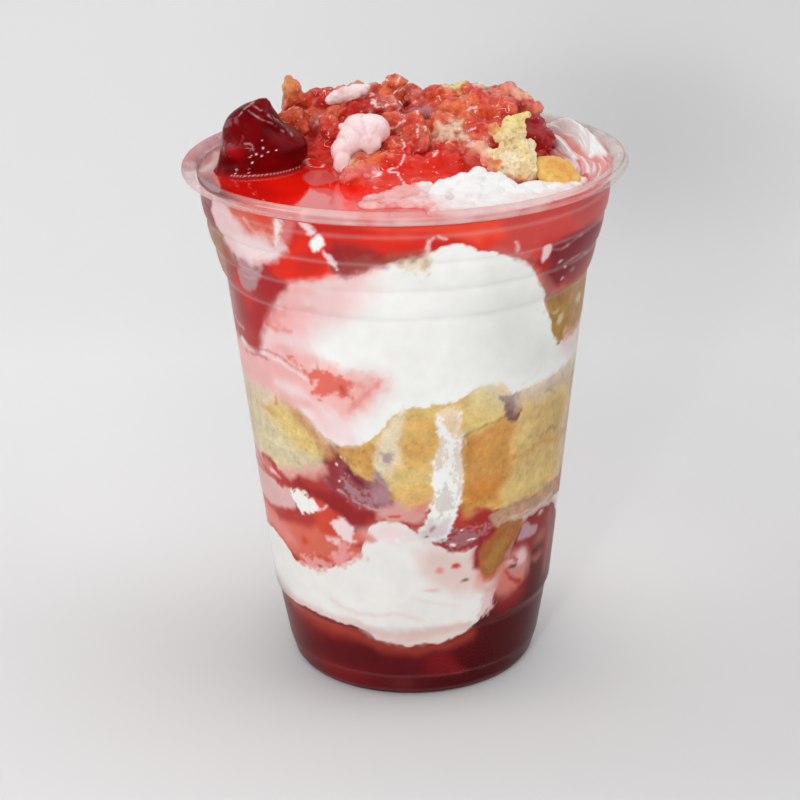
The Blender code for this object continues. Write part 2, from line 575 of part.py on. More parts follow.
def build_wedge(name, grow=0.0):
    """A slab of crust that leans forward onto the pool: its outline underneath, at its edge and, drawn in a
    little, on top."""
    outline = np.array(WEDGE_OUTLINE)
    middle = outline.mean(axis=0)
    out = outline - middle
    outline = outline + grow * out / np.linalg.norm(out, axis=1)[:, None]
    rings = []
    for share, rise in ((1.0, -WEDGE_THICKNESS - grow), (1.0, -WEDGE_EDGE + grow), (0.86, grow)):
        at = middle + (outline - middle) * share
        plane = WEDGE_TOP + WEDGE_RISE * (at[:, 1] - middle[1]) + rise
        lowest = TOPPING_FLOOR - grow if not rings else TOPPING_FLOOR + grow + WEDGE_EDGE * len(rings) / 2
        rings.append(np.column_stack([at, np.maximum(plane, lowest)]))
    ends = [ring.mean(axis=0) for ring in (rings[0], rings[-1])]
    return lathe_like(name, rings, ends, "cake")


def build_toppings(heap):
    """Strawberry, dollops, plain crumb, golden wedge and the creams, with room for each cut from what lies
    next to it."""
    build_strawberry("strawberry")
    cut(heap, build_strawberry("room_strawberry", grow=GAP))
    for number, (name, (centre, half)) in enumerate(DOLLOPS.items()):
        dollop = dict(centre=centre, half=half, material_name="pink_cream", roughness=0.1, seed=20 + number)
        rough_ball(name, **dollop)
        cut(heap, rough_ball(f"room_{name}", grow=GAP, **dollop))
    front = rim_cream("front_cream", FRONT_CREAM, seed=31)
    fuse(front, [rough_ball(f"front_lump_{number}", centre, half, "white_cream", roughness=0.12,
                            seed=40 + number)
                 for number, (centre, half) in enumerate(FRONT_CREAM_LUMPS)])
    back = rim_cream("back_cream", BACK_CREAM, seed=33)
    cut(heap, rim_cream("room_back_cream", BACK_CREAM, seed=33, grow=WALL_GAP))
    wedge = build_wedge("golden_wedge")
    room = build_wedge("room_golden_wedge", grow=GAP)
    for neighbour in (heap, front, back):
        cut(neighbour, room)
    crumbs = [dict(centre=centre, half=half, material_name="plain_cake", roughness=0.12, seed=61 + number)
              for number, (centre, half) in enumerate(PLAIN_CRUMBS)]
    fuse(rough_ball("plain_crumb", **crumbs[0]), [rough_ball("crumb_top", **crumbs[1])])
    for number, crumb in enumerate(crumbs):
        room = rough_ball(f"room_crumb_{number}", grow=GAP, **crumb)
        for neighbour in (heap, front, wedge):
            cut(neighbour, room)


def main():
    clear_scene()
    build_cup()
    build_wall_pieces(build_layers())
    build_toppings(build_heap())


if __name__ == "__main__":
    main()
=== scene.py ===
"""The looks of a strawberry shortcake trifle in a clear plastic cup.

Laid out as an add-on and run as a script. Lengths in the tables are millimetres, in the meshes metres. The
axis of the cup is Z and its foot stands on z = 0. Angles on the wall are degrees from the front, which is -Y,
growing towards +X. What shows through the wall is painted on the layers by angle and height: first the layers
themselves, from the curves where they meet, then stains, each a closed outline, an oval or a streak."""

import math

import bmesh
import bpy
import numpy as np
from bpy.props import FloatProperty, FloatVectorProperty, PointerProperty
from mathutils import Matrix, Vector


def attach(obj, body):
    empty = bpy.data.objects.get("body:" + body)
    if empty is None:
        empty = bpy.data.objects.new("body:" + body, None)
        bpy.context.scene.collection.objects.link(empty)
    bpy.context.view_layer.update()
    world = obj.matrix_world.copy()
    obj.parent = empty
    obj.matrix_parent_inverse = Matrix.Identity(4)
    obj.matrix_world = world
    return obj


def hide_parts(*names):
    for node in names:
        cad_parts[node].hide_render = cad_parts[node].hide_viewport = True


bl_info = {
    "name": "Strawberry shortcake trifle cup",
    "version": (1, 0, 0),
    "blender": (4, 5, 0),
    "location": "View3D > Sidebar > Trifle",
    "description": "Makes the looks of a layered trifle in a clear cup",
    "category": "Add Mesh",
}

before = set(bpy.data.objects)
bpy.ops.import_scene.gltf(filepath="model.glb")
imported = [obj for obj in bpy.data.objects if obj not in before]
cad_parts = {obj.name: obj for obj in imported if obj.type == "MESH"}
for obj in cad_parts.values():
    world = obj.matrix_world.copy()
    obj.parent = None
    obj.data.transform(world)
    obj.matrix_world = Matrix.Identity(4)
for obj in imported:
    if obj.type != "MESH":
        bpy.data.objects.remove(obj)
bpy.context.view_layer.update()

MM = 0.001

# Sizes
FOOT_RADIUS = 26.6
WALL = 0.8
FLOOR_LEVEL = 1.2
POOL_LEVEL = 116.4
SUNK_LEVEL = POOL_LEVEL - 0.5
ROLL_CENTRE = (47.2, 117.9)
ROLL_HALF = (1.8, 1.4)
HEEL = [(27.6, 0.4), (28.4, 1.6), (29.6, 5.7), (31.2, 15.0), (31.6, 17.4), (32.4, 19.4)]
HEEL_EDGES = [1.6, 5.7, 17.4]
STACKING_RINGS = [(40.5, 94.2), (42.5, 101.0), (44.15, 107.4), (45.2, 113.5)]
BAND_BULGE = 0.45
BAND_BULGE_AT = [(0.12, 0.7), (0.28, 1.0), (0.52, 1.0), (0.75, 0.8), (0.92, 0.35)]
CUP_COLUMNS = 300
# Haze of the rim's roll by angle, on its upper and on its lower side, and its painted highlight lines: where
# round the roll, half width in degrees, strength.
UPPER_HAZE = {-170: 0.3, -130: 0.5, -95: 0.7, -84: 0.5, -74: 0.12, -54: 0.12, -42: 0.3, -15: 0.56, 0: 0.24,
              12: 0.42, 35: 0.5, 55: 0.42, 90: 0.66, 120: 0.5}
LOWER_HAZE = {-170: 0.3, -130: 0.5, -95: 0.6, -78: 0.5, -45: 0.5, -18: 0.46, 0: 0.6, 15: 0.5, 34: 0.45,
              46: 0.16, 70: 0.2, 92: 0.6, 120: 0.5}
ROLL_LINES = [(38, 4, 0.45), (104, 6, 0.45), (-40, 5, 0.35), (75, 3, 0.3)]
# How far the contents reach into the wall, and how much further a piece let into them does.
INTO_WALL = 0.56
LET_IN_FURTHER = 0.12
ROW_HEIGHT = 0.42
WALL_ANGLES = np.array([*np.arange(-90, 90, 0.5), *np.arange(90, 270, 1.5)])


def items(text):
    """The words and numbers of a text."""
    return [item if item[0].isalpha() else float(item) for item in text.split()]


def table(text):
    """Rows of words and numbers, with a comma between rows."""
    return [tuple(items(row)) for row in text.split(",")]


def lines(text):
    """Tables with a semicolon between them."""
    return [table(part) for part in text.split(";")]


def entries(text):
    """Each entry's words and numbers, then the table after its colon. A line that starts with a space goes on
    from the one before, and one that starts with # says what follows."""
    whole = text.strip().replace("\n ", " ").splitlines()
    parts = [line.split(":") for line in whole if not line.startswith("#")]
    return [(*items(head), table(rows)) for head, rows in parts]


# Where two layers meet: heights on the wall by angle, and the height in the middle of the cup.
SAUCE_TOP = ({
    -150: 18, -120: 17, -90: 17.5, -70: 18.8, -50: 19.2, -30: 18.6, -21: 18.2, -15: 15.4, -5: 14.3, 5: 14.4,
    15: 15.6, 25: 18, 30: 21, 35: 27, 40: 34, 45: 39.4, 50: 41.6, 65: 41, 75: 37, 90: 29, 120: 22,
    165: 19.5
}, 19.0)
LOWER_CREAM_TOP = ({
    -150: 35, -120: 33, -90: 32.5, -80: 34, -70: 35.6, -60: 34.8, -55: 32.6, -50: 31.2, -40: 31.4,
    -30: 33.8, -25: 35.2, -20: 37.8, -15: 45, -10: 46.2, -5: 46.2, 0: 44.6, 5: 41.6, 10: 39.6, 20: 37.7,
    25: 38, 35: 41, 45: 43.4, 55: 44.2, 65: 43.4, 90: 39, 130: 36
}, 38.0)
MIDDLE_SAUCE_TOP = ({
    -150: 54, -120: 55, -90: 54, -75: 54, -60: 54.6, -50: 53.4, -40: 54.4, -30: 57.4, -20: 57, -10: 55.4,
    -5: 50.6, 0: 49.2, 10: 49.4, 20: 49.4, 30: 47, 40: 46.4, 55: 46.6, 70: 47, 90: 49, 120: 51, 160: 52
}, 51.0)
CAKE_TOP = ({
    -150: 75, -120: 74, -90: 73.5, -70: 73.8, -50: 73.2, -40: 70.6, -35: 68.3, -30: 66, -25: 64.4,
    -20: 64.2, -15: 65.6, -10: 68.4, -5: 72.2, 0: 73.6, 10: 74.3, 15: 74.8, 20: 76.4, 25: 77.7, 30: 76.9,
    35: 74.2, 50: 74.6, 75: 75.6, 120: 77, 165: 76.5
}, 76.0)
UPPER_CREAM_TOP = ({
    -150: 97, -120: 92, -100: 85, -90: 82.6, -75: 82, -60: 82, -55: 86, -50: 89.4, -45: 93.4, -40: 97.6,
    -35: 100.8, -25: 103.2, -15: 105, -5: 107.8, 5: 109.8, 10: 111.3, 15: 110.9, 20: 109.6, 25: 108.2,
    30: 106.6, 35: 104.2, 40: 101, 45: 95.6, 50: 88.8, 55: 85.6, 65: 85, 80: 86, 95: 90, 115: 94, 140: 97
}, 101.0)
LAYERS = {  # node: surface below, surface above
    "bottom_sauce": (None, SAUCE_TOP),
    "lower_cream": (SAUCE_TOP, LOWER_CREAM_TOP),
    "middle_sauce": (LOWER_CREAM_TOP, MIDDLE_SAUCE_TOP),
    "upper_cream": (CAKE_TOP, UPPER_CREAM_TOP),
    "top_sauce": (UPPER_CREAM_TOP, None),
}
CAKE_CHUNKS = {"cake_left": (-120, -25), "cake_centre": (-25, 20), "cake_right": (20, 105),
               "cake_back": (105, 240)}
# Pieces let into the layers: node and depth, then the outline by angle and height on the wall.
WALL_PIECES = entries("""
cream_drip 2.4: 9.6 73, 15.5 72.5, 17.6 66, 17.2 58, 16.6 51, 14.5 46, 12 42.2, 7.5 41.6, 3 42.6, 3.6 45.6,
 6.4 49.5, 7.2 56, 8 64
jam_pocket 7: -30.6 60, -27.8 63.2, -24.5 63.6, -21 62, -18.8 58.6, -11 57.4, -8.6 54, -9 50.6, -15 49.6,
 -22 50.4, -28.5 52.6, -31.6 56
pink_cream_left 5: -108 46.6, -95 43.4, -78 42.4, -62 43, -53 45.4, -50.6 47.6, -56 49.4, -72 50.2, -95 50.4
cream_fleck 3: -47.6 48, -44 50, -38.5 49.4, -35 47, -38 44.8, -43 44.2, -46.4 45.6
small_cake 7: 24.6 36, 27.4 39.4, 32.5 41.6, 39 42.2, 44.6 41, 45 39, 40.5 36.6, 36 32.6, 31.8 29.8,
 28.4 30.2, 25.6 33
cream_patch 4.5: 36.8 30.6, 40 33.4, 45.6 34.2, 50 31.6, 51.6 28, 48.4 25, 42.6 24.4, 38 26.8
upper_left_cake 9: -104 98.6, -92 95.4, -77 95, -66 96.6, -60 99.4, -59.6 102.6, -62.6 106.4, -70 108.6,
 -82 107.4, -96 103.6
cream_smear 4: -58.6 106, -54 103.4, -48.6 103.8, -41 106.6, -34.6 109.4, -36.4 112.2, -45 113.6,
 -54.5 113.6, -58.6 110.4
upper_right_cake 9: 48.6 93.4, 54 95, 66 94.8, 82 95.2, 95 93, 99 89.4, 92 84.4, 76 82.4, 62 82.4,
 54.6 83.6, 51.2 87.6
""")

# Colours
# Screen colours by name. A name that starts with cake or crust is porous, one with sauce or jam is wet.
PALETTE = dict(pair.split() for pair in """
sauce 5a1016, sauce_deep 48080c, sauce_dull 6e2226, sauce_red 761619, sauce_glow b24436,
sauce_crimson 8c2a2b, sauce_mid b03a34, sauce_wedge a8262b, sauce_wedge_dull a02c30, sauce_blood 962a2c,
sauce_bright e02c1c, sauce_fire f24f38, sauce_top c82a22, sauce_band cb4a44, sauce_band_dull b54c4b,
sauce_maroon 7c2129, sauce_maroon_dull 8c3a3c, sauce_brown 9c5a4c, sauce_coral d66a58, sauce_orange cf4a38,
cream efefec, cream_low e9e7e3, cream_pale_pink edd6d6, cream_pink ecc2c2, cream_rose e9a9a7,
cream_deep_rose e5908a, cream_coral de6e60, cream_wash e0bfb8, cream_smear e4c2c3, cream_dull_pink d8b0ae,
cream_flush eeb2ab, cream_blush dda49c, jam 93474e, jam_dark 702a32, jam_pale bfa3ab, jam_mauve b08a8e,
jam_red 983a40, cake dbb674, cake_pale dacaa6, cake_yellow dcc17e, cake_gold dfb36c, cake_brown ca9351,
cake_deep c47c36, cake_tan ccae76, cake_beige b9967c, cake_cream e4d4b8, cake_mauve a98c92,
cake_olive a98148, cake_umber 9a6c44, cake_haze cab8a4, cake_soaked b28678, cake_small a8653a, crust cd9460,
crust_line 8d6a45, crust_gap 80564e, haze c6b6ab, haze_pink cfb0ae, dark_fleck 5c4034, glint f6eeee,
cream_shade dddeda, bubble b08d90, red_fleck c4463a, soak_red d5402f, soak_pink eda792, soak_deep ac1410,
soak_orange e2703f, soak_pale f6d0be, pool f21a0c, pool_deep cf140c, pool_pink c98083, pool_dark 6e1418,
pool_pale e2bfc0, pool_film dc6462, crumb_orange c4502a, crumb_gold d89a50, crumb_beige e6c4a4,
crumb_yellow ecd98e, swirl dba3a3, crumb_pale efe6cc, crumb_plain e6d2a2, crumb_tan d9a876,
crumb_wedge e0ab58, syrup_red dc2a1a, syrup_dark 98141a, syrup_grey a8797e, dollop f0dcdc,
dollop_deep eaa9a9, white e9e9e8, berry 72060c, berry_deep 520408, berry_bright b0141a, berry_pale c0989c
""".split(","))
RIM_TINT, RIM_TINT_LEFT, RIM_TINT_RIGHT, WALL_TINT = "e6c0bd", "cb8689", "d8cbc6", "f6f0f0"

# Stains on the wall side, painted in this order over the layers' own colours. After the kind and the colour
# come a streak's half width, then for each kind the width of the edge, how far noise pushes the edge about,
# the size of that noise and the strength. A patch has a closed outline and a streak an open line, of angles
# and heights. A spot is an oval: angle, height, half width, half height and turn.
# painted highlights: small curly pale glints
# painted reflection: a pale veil near the right side
# painted reflection: a pale veil over the cake near the left side
# painted reflection: a pale veil over the cake near the right side
# painted reflection: a pinkish pale veil near the left side
# painted shade: the upper cream greyer towards the right
# painted sparkle: pale specks that stand for glints on the jam's bubbles
# painted sparkle: pale specks that stand for glints on the jam's bubbles
STAINS = entries("""
# bottom sauce
patch sauce_deep 7: 14 0, 95 0, 95 18, 60 19, 34 18, 24 12, 14 8
patch sauce_dull 9: -110 0, -78 0, -62 9, -64 19, -110 19
spot sauce_red 4: -38 4 9 3
spot sauce_red 4: -44 15 9 3
streak sauce_glow 1.3 4 0 2 0.85: -60 17.4, -50 17.4, -38 16.7, -24 16.2
streak sauce_glow 1 3.2 0 2 0.72: -20 15.4, -13 13.4, 2 12.9, 14 13.7, 24 15.6
patch sauce_red 1.8: 4.6 8, 6 11, 11 12, 15 10.4, 20 7.6, 24 5.4, 14 5.4, 6 6
spot sauce_deep 0.7: -38.5 12.4 1.4 0.35
spot sauce_dull 2 0 2 0.7: -6 3.6 2.4 1.8
# crimson side, right
patch sauce_crimson 5: 32 22, 38 36, 47 42, 60 42, 72 39, 74 28, 60 26, 50 21
patch sauce_deep 4 0 2 0.8: 54 33, 62 32, 66 26, 64 20, 52 20, 52 27
patch cream_blush 2.6 0.6 2 0.62: 31 26.6, 35 30.4, 39 33.8, 46 34.8, 50 32.6, 51.6 28.6, 49 25.2, 42 24.2,
 34 24.6
patch sauce_coral 2.2 0.6 2 0.6: 34 26.4, 38 30, 42 28, 48 27.6, 50 26, 44 24.4, 36 24.8
spot cream_smear 1.5 0.3 1.5 0.8: 46.6 32.2 2 1.9
spot cream_dull_pink 1: 39.5 32.6 1.6 0.8
streak sauce_mid 0.3 0.7: 37.6 33.2, 41 33.2, 44 32
streak sauce_mid 0.45 0.9 0.3: 38.6 30.2, 41 28.2, 44 26.4, 47.4 25.2
spot sauce_blood 0.5: 41.6 31 1.2 0.5
spot dark_fleck 0.5: 43.1 30.8 0.6 0.5
spot sauce_brown 2.4: 59 34 2.4 1.6
spot sauce_brown 1.2: 58 29.6 2.4 0.8
streak sauce_brown 0.8 2.4 0 2 0.7: 66 38, 69 30, 68 24
patch haze 8 0 2 0.14: 76 40, 92 30, 92 20, 76 22
# lower cream
patch cream_wash 4 0.5 3 0.75: 2 38.6, 10 39.6, 20 37.6, 27 35, 30 28, 23 26.6, 12 29, 4 33
patch cream_blush 2.4 0.6 2 0.85: 22 37.6, 26.6 36, 28 31, 30 28.4, 33 26.6, 30 25, 26 28, 24 32
patch cream_wash 2.2 0.4 2 0.9: -21 18.8, -16 16, -6 14.8, 4 15, 14 16, 24 18, 20 19.6, 4 18.6, -8 18
streak cream_wash 0.6 1.6 0.3 2 0.7: -64 20, -48 20.4, -34 20, -22 19.6
patch cream_smear 0.4 1.3 0.9 0.85: 27 25.2, 30 25.6, 32.8 24.4, 33.6 21.8, 31.6 20.4, 28 19.6
streak cream_wash 0.25 1.6 0 2 0.6: -34 24.4, -22 21.8, -8 22.8, 4 21
streak cream_wash 0.2 1.4 0 2 0.35: 0 27, 8 25.4, 18 24
spot sauce_orange 0.45 0.25 1: 16.4 34.5 1.35 0.85
spot cream_deep_rose 0.8: 10 34 0.7 0.7
spot dark_fleck 0.35: 20.3 30.3 0.7 0.34
spot cream_rose 0.8: 7 28.9 1 0.35
# coral patch on the left
patch sauce_coral 1.3 1.2 1.8: -100 32, -80 35, -70 36.4, -60 35.4, -55 33, -49 31.4, -40 31.6, -30 33.8,
 -24 35.4, -18.6 36.8, -21 39.4, -28 41.6, -36 43, -50 42, -65 41, -85 39.6, -100 38
patch cream_deep_rose 3 0.8 3 0.8: -100 33, -72 36.6, -56 35, -50 36, -56 39, -72 39.6, -100 38
patch cream_dull_pink 6 0 2 0.8: -118 33, -90 34, -78 36, -84 39, -118 39
patch cream_rose 0.7 1.9 1.15 0.7: -48 31.4, -46 33.4, -38 34.6, -32 36.4, -28 38.8, -23 38.2, -20 37,
 -26 34.6, -33 32.6, -42 31
spot cream_pink 0.5 0.9 1: -30 40.4 1.7 0.8
spot sauce_orange 1: -44.6 37.6 0.9 1.1
spot sauce_orange 0.8 0.5 1: -34 34.6 1.8 0.7
streak sauce_mid 1.3 1.8 0.4: -60 41, -50 42, -42 42.8, -35 44.6, -32 47
patch sauce_orange 1.6 0.4: -36 49.6, -30 48.8, -24 45.4, -25 41.6, -33 41, -37 44
# pink cream and streaks above it
patch cream_dull_pink 0.9 0.4 2: -120 41, -95 42, -80 42, -65 42.6, -55 43.8, -48.6 44.6, -46.4 46.6,
 -49 49.4, -60 49.8, -75 49.6, -120 50
streak cream_rose 0.5 1.6 0 2 0.8: -80 42.4, -66 43, -54 44.4
patch cream_dull_pink 3 0.5 3 0.8: -130 50, -74 50, -66 51, -62 54, -76 55, -130 55
streak sauce_mid 0.4 0.9 0.5 1.5: -74 53, -68 51, -60 49.9, -54 49.7
streak sauce_mid 0.8 1.1 0.5 1.5: -67 53.6, -60 54.4, -54 53, -49 51.4
patch sauce_coral 0.8 0.5 1.5 0.7: -69 52.4, -64 54, -60 52.4, -54 51.8, -58 50.4, -65 50.8
spot cream_pink 0.7 0.3 1: -58.6 51.6 1.9 0.5
patch cream_blush 1.2 0.5: -54 53.6, -49 52.6, -45 52.6, -42 54.6, -46 55.4, -52 54.8
patch sauce_blood 0.9 0.6 1.6: -46 52, -42 54, -36 55.6, -30 55.8, -27 53, -23 50, -19 48.8, -12 48.4,
 -16 46.4, -20 43.2, -23 45, -28 47.4, -34 49.4, -40 50.4
patch sauce_mid 1.6 0.6: -44 53.4, -36 55.8, -30 56.2, -26 53.4, -30 52, -38 52
patch cream 0.4 0.7 0.9 0.95: -49 48.6, -46 50, -41 50.2, -38 49.2, -35.2 47.4, -35.8 46.2, -39.5 45.4,
 -42 45, -45 45.2, -46.6 46.6
streak cream_pink 0.22 0.3: -35.6 46.6, -33 46.9, -31.3 48.2
patch cream_pale_pink 0.7 0.6 1: -29.6 44.4, -27 45.6, -24 45.2, -22 43, -20.4 40.8, -24 40.4, -28 41.8
patch sauce_coral 0.6 0.4 1: -21.6 42, -19 43.6, -15 42.8, -12 41.4, -18 40.8, -21.6 40.8
spot cream_pale_pink 2.6 0.5: -8 43.2 4.5 1.6
spot glint 0.4: -5.4 41.6 0.5 0.35
# jam pocket
patch jam 1.1 0.9 1.8: -32 56, -30.6 60, -27.6 63.4, -25 62, -21.5 59.4, -18 57.6, -14 55.4, -9 56.4,
 -6.4 53.4, -5 50.4, -9 48.4, -15 48.6, -21 49.6, -26 52, -30 54
patch sauce_blood 2 0.8 2 0.6: -32 57.4, -29 61, -26 62.4, -24 58, -26 54, -30 54.6
streak jam_dark 0.7 1: -27 63.4, -25.4 61.6, -24.6 63.6
streak jam_dark 0.7 1.1 0.6 1: -21.6 58, -18 56, -12.6 54.6, -10.4 57.6
patch jam_pale 0.9 1.9 0.7 0.4: -24 56, -20 54.6, -15 52.4, -13 50.4, -17 50.2, -22 52.2
patch jam_pale 1.8 0.7 1.2 0.4: -13 54, -8 54.4, -6.4 52, -9 50, -12 51
patch jam_mauve 2.4 1 1.2 0.5: -14 57, -8 56, -5.6 52, -9 50.4, -14 52
streak cream_pink 0.12 0.3 0.3 1 0.5: -26 53, -22 50.8, -16 49.8, -11 49
spot glint 0.3: -25.8 59.2 0.3 0.35
spot glint 0.25: -24.4 61.2 0.2 0.2
spot glint 0.25: -25.6 55.2 0.25 0.25
spot glint 0.3: -17.6 64.8 0.3 0.2
patch cream_blush 1.4 0.6 1.5 0.9: -13 48.6, -7 50.2, -3 52.2, 4 53.6, 6.6 51, 3 46.4, -3 46.4, -10 46.2
spot sauce_coral 2 0.5 2 0.6: 3 50.6 2 1.4
streak sauce_orange 0.25 0.35: -8 47.5, -4 48
# right of the drip
patch sauce_mid 0.7 0.5 1.2: 15.6 49.4, 19 49.8, 22 49, 26 48.2, 31 46.6, 31.6 44.6, 28 42.8, 22 43.4,
 18 44.4, 14.6 45.4
patch sauce_blood 1.2 0 2 0.6: 20 46, 25 46.6, 30 45.8, 29 43.6, 23 44
spot sauce_coral 0.9 0.4 1 0.8: 21.5 46.8 1.4 0.6
patch jam_red 0.6 0.6 1.1: 9.6 40.2, 12 43, 15 44.4, 20 43.6, 26 43, 30.6 42.8, 31 41, 27 39.2, 20 38.2,
 13 38.8
patch jam_pale 0.3 1.9 0.55 0.3: 14 42, 20 43.2, 28 42.8, 29 41, 22 39.8, 14 39.8
spot glint 0.3 0.3 0.5: 15 40 0.5 0.3
spot glint 0.3 0.3 0.5: 22.6 40.4 0.45 0.2
spot glint 0.25: 18.4 43.4 0.25 0.2
patch cake_small 0.8 0.4 1.5: 26 31.4, 24.6 35, 26.4 39, 31 41.8, 36 43, 41 42.6, 45.8 41.6, 44 38.8, 40 36,
 37 33, 33 29.8, 29 29.2
patch cake_olive 2 0.5 2 0.7: 30 31, 29 35, 33 38.6, 37 38, 36 34.4, 33 31
patch cake_umber 1.4 0 2 0.7: 34 42.4, 40 42, 43 40.6, 41 38, 37 39.6
streak sauce_blood 0.8 1.1 0.3: 24.2 33.8, 24.6 37, 27.6 40, 31 41.8
streak sauce_coral 0.5 1.2 0.3 2 0.7: 26 31, 29.6 29.2, 33.6 29.6, 37 32
patch jam_mauve 0.45 0.2 1: 44 36.6, 45.4 39.2, 48 40.2, 51 38.8, 55.4 38, 54.6 36.4, 50 36.2
spot cream_blush 0.6: 57.4 40.6 1 0.45
patch cake_beige 0.8 0.4 1.5 0.92: 31 46.2, 40 47.4, 50 47, 58 47.6, 68 46.6, 76 42.6, 66 41.8, 58 42.6,
 50 42.8, 44 42, 38 43, 33 41.8, 29.6 44
streak cream_wash 0.25 0.6 0.2 1 0.5: 36 42.6, 46 43.6, 56 43, 66 43.4
streak cake_umber 0.3 0.9 0.3 2 0.5: 38 46.6, 47 46, 55 47
# cake on the left
patch cake_yellow 3.4 0.8 3: -50 71, -44 72, -38 69, -33 65, -30 61.6, -34 60, -42 61.4, -50 64, -58 66.6
patch crust 1.8 0.6 1.6 0.8: -46 72.6, -38 70, -32 66.8, -27.6 63.8, -27.4 60.8, -31 60.2, -34 63.4,
 -40 67.6
spot crust 1.4 0.5 2 0.7: -56 67.8 2.2 0.8
spot cake_gold 1.4 0.5 1 0.5: -39.6 62.6 1.8 0.6
patch cake_haze 7 1.6 5 0.6: -97 53, -72 56, -66 64, -70 73, -100 73
streak red_fleck 0.5 0.8 0.3 1 0.75: -50 70, -49.4 72.2
patch cream_blush 1.6 0.7 1.5 0.8: -46 54, -40 56.4, -33 58.6, -30 57, -32 55.4, -40 54
spot dark_fleck 0.3 0 2 0.6: -38 61 0.3 0.2
# cake in the middle
patch cake_brown 1.4 0.9 1.6 0.8: -25 63.4, -19 64.4, -12 65.6, -10.6 61, -12.6 57, -18 58.6, -23 61
patch cake_cream 1.6 1 1.6 0.9: -12.6 60, -11 65, -6 71.6, -1 73, -3 68, -3.6 60, -5 56.6, -9 57
patch cake_yellow 2.4 0.8 2 0.8: -7 57, -3 60, 4 60, 7 56, 3 53, -4 53
patch cake_mauve 0.8 0.7 0.9 0.9: -9.6 61.6, -8.6 63.8, -6.4 63.4, -5.8 61.6, -8 60.6
patch cake_gold 1.6 0.8 1.8: -1.6 60.6, -2.6 64, -0.6 69, 3.4 72, 9 72.4, 9.4 66, 6.6 61, 3 59.4
spot cake_deep 1.8 0.3 2 0.3: 2 64 2.2 1.9
patch cake_yellow 1 1 1.2: 2 73.6, 9 74, 15 73.6, 16 70, 8 71.4
patch cake_gold 1.6 1 1.6 0.8: -4 54, 2 55.6, 7 55, 6 51.6, 0 50.6, -5 51.6
streak cake_mauve 0.5 0.8 0.3 1: -11.6 58.4, -10.4 56.4, -8.4 55.2
# cake on the right
patch cake_brown 2.4 1 2.5: 18 48.6, 17.6 64.6, 24 66.8, 31 68.2, 37.6 66, 37 58, 36 52, 32 48.2, 25 47.6
spot cake_deep 3 0.8 2 0.8: 25 52.4 5 2.4
spot cake_deep 2.4 0.8 2 0.4: 21 63 2.4 1.6
patch cake_tan 2.6 1 2.5 0.9: 36.6 50, 38 58, 39 66, 46 69.6, 58 70.4, 66 64, 67 54, 62 48, 50 47.2, 39 47.8
patch cake_yellow 2 0.8 2 0.55: 33 50, 35 53, 44 54, 56 52.4, 62 49, 50 48, 38 48
patch cake_yellow 2 0.8 2 0.6: 36 63, 42 65, 47 63.4, 44 61.6, 37 61.4
streak cake_brown 0.5 1.4 0.8 1.6 0.8: 33 57, 40 58.2, 50 59.4, 64 58.6
streak cake_umber 0.3 0.9 0.5 1 0.6: 52 60.6, 58 61.8, 63 60.4
patch cake_beige 2 0.5 2 0.65: 41 74, 52 74.8, 66 75, 78 74, 76 70.6, 62 70.6, 50 71, 44 70
streak crust_line 0.12 0.3 0.15 1 0.9: 51 71.8, 54.6 71.6, 58 69.6
patch cake_yellow 0.8 0.6 1.3: 17.6 66.2, 18.4 74, 22 77, 28 77.6, 32.6 76.6, 33.4 73.4, 32 69.6, 26 67.4
patch cake_gold 0.8 0.5 1 0.8: 29 76, 30 77.4, 33 76.4, 34 74.4, 31.4 74.6
streak cake_umber 0.2 0.7 0.2 2 0.8: 18 65.8, 24 67.6, 30 68.6, 33.4 69
patch crust_gap 0.5 0.6 0.9: 30.6 74, 38.6 74, 37 72, 39.4 69, 38 67.2, 35 67.6, 33.4 70, 32.4 72.4
patch cake_beige 0.9 0.5 1 0.75: 36.4 73.4, 39.6 73.6, 39.6 69.4, 37.2 69
patch cake_haze 7 1.6 5 0.7: 70 47, 94 47, 91 76, 72 76, 67 66, 67 54
streak cake_beige 0.7 1.6 0.3 3 0.6: 68 58, 76 57, 88 53
streak jam_dark 0.6 1.1 0.2 3 0.5: 75 70.2, 82 69, 92 67.4
# drip
patch cream 0.55 0.6 0.8: 8.6 72, 11 73.4, 15.6 72.8, 18 68, 18 62, 17.6 55, 17.2 50, 15 45, 11.6 41.4,
 6 41, 2.4 42.4, 3 44.6, 4 46.4, 6.6 49.4, 7.4 52, 7 57, 7.6 61, 9 66
patch cake_gold 0.5 1.7 0.9 0.6: 10 73.4, 15 73, 18 68.6, 16.6 65.4, 13.6 67, 11 69
patch cake_brown 0.4 1.5 0.7 0.4: 8.6 66, 11 66, 11.6 60, 9.6 59, 8 62
patch cake_brown 0.4 1.4 0.6 0.35: 14.6 65, 17.8 64, 17.6 54, 16 52, 14.8 57
patch cake_umber 0.4 1.4 0.55 0.3: 9 53.4, 12.6 54.4, 14.4 50, 10.6 47.4, 9 50
patch jam_pale 1.8 0.5 1.5 0.6: 2.6 43, 6 46.6, 10 46, 14 46.6, 12 42.2, 6 41.2
streak jam 0.3 0.5 0 2 0.7: 6.6 44, 8 45
spot dark_fleck 0.3: 5.1 42.4 0.35 0.25
spot dark_fleck 0.35 0 2 0.7: 11.2 41.6 0.4 0.25
# upper cream
patch cream_pink 6.5 0.8 5 0.9: -60 78, -53 86, -48 91.6, -42 97, -35 101.6, -24 104, -14 105.6, -9 106.4,
 -12 99, -22 92.6, -31 88.4, -29 83, -16 81, -8 80.6, -10 76, -20 69, -26 65, -34 68, -46 72, -100 73,
 -100 80
patch cream_rose 3.6 1.2 3 0.8: -53 84.6, -49 90.6, -43 95.6, -36 99.6, -32 96, -35 91, -42 87.4, -36 84.4,
 -30 82.4, -40 82.4
patch cream_deep_rose 1.6 1.2 1.5 0.7: -49 89.6, -45 92.6, -40 94.4, -39 92.6, -43 90.4, -46 89
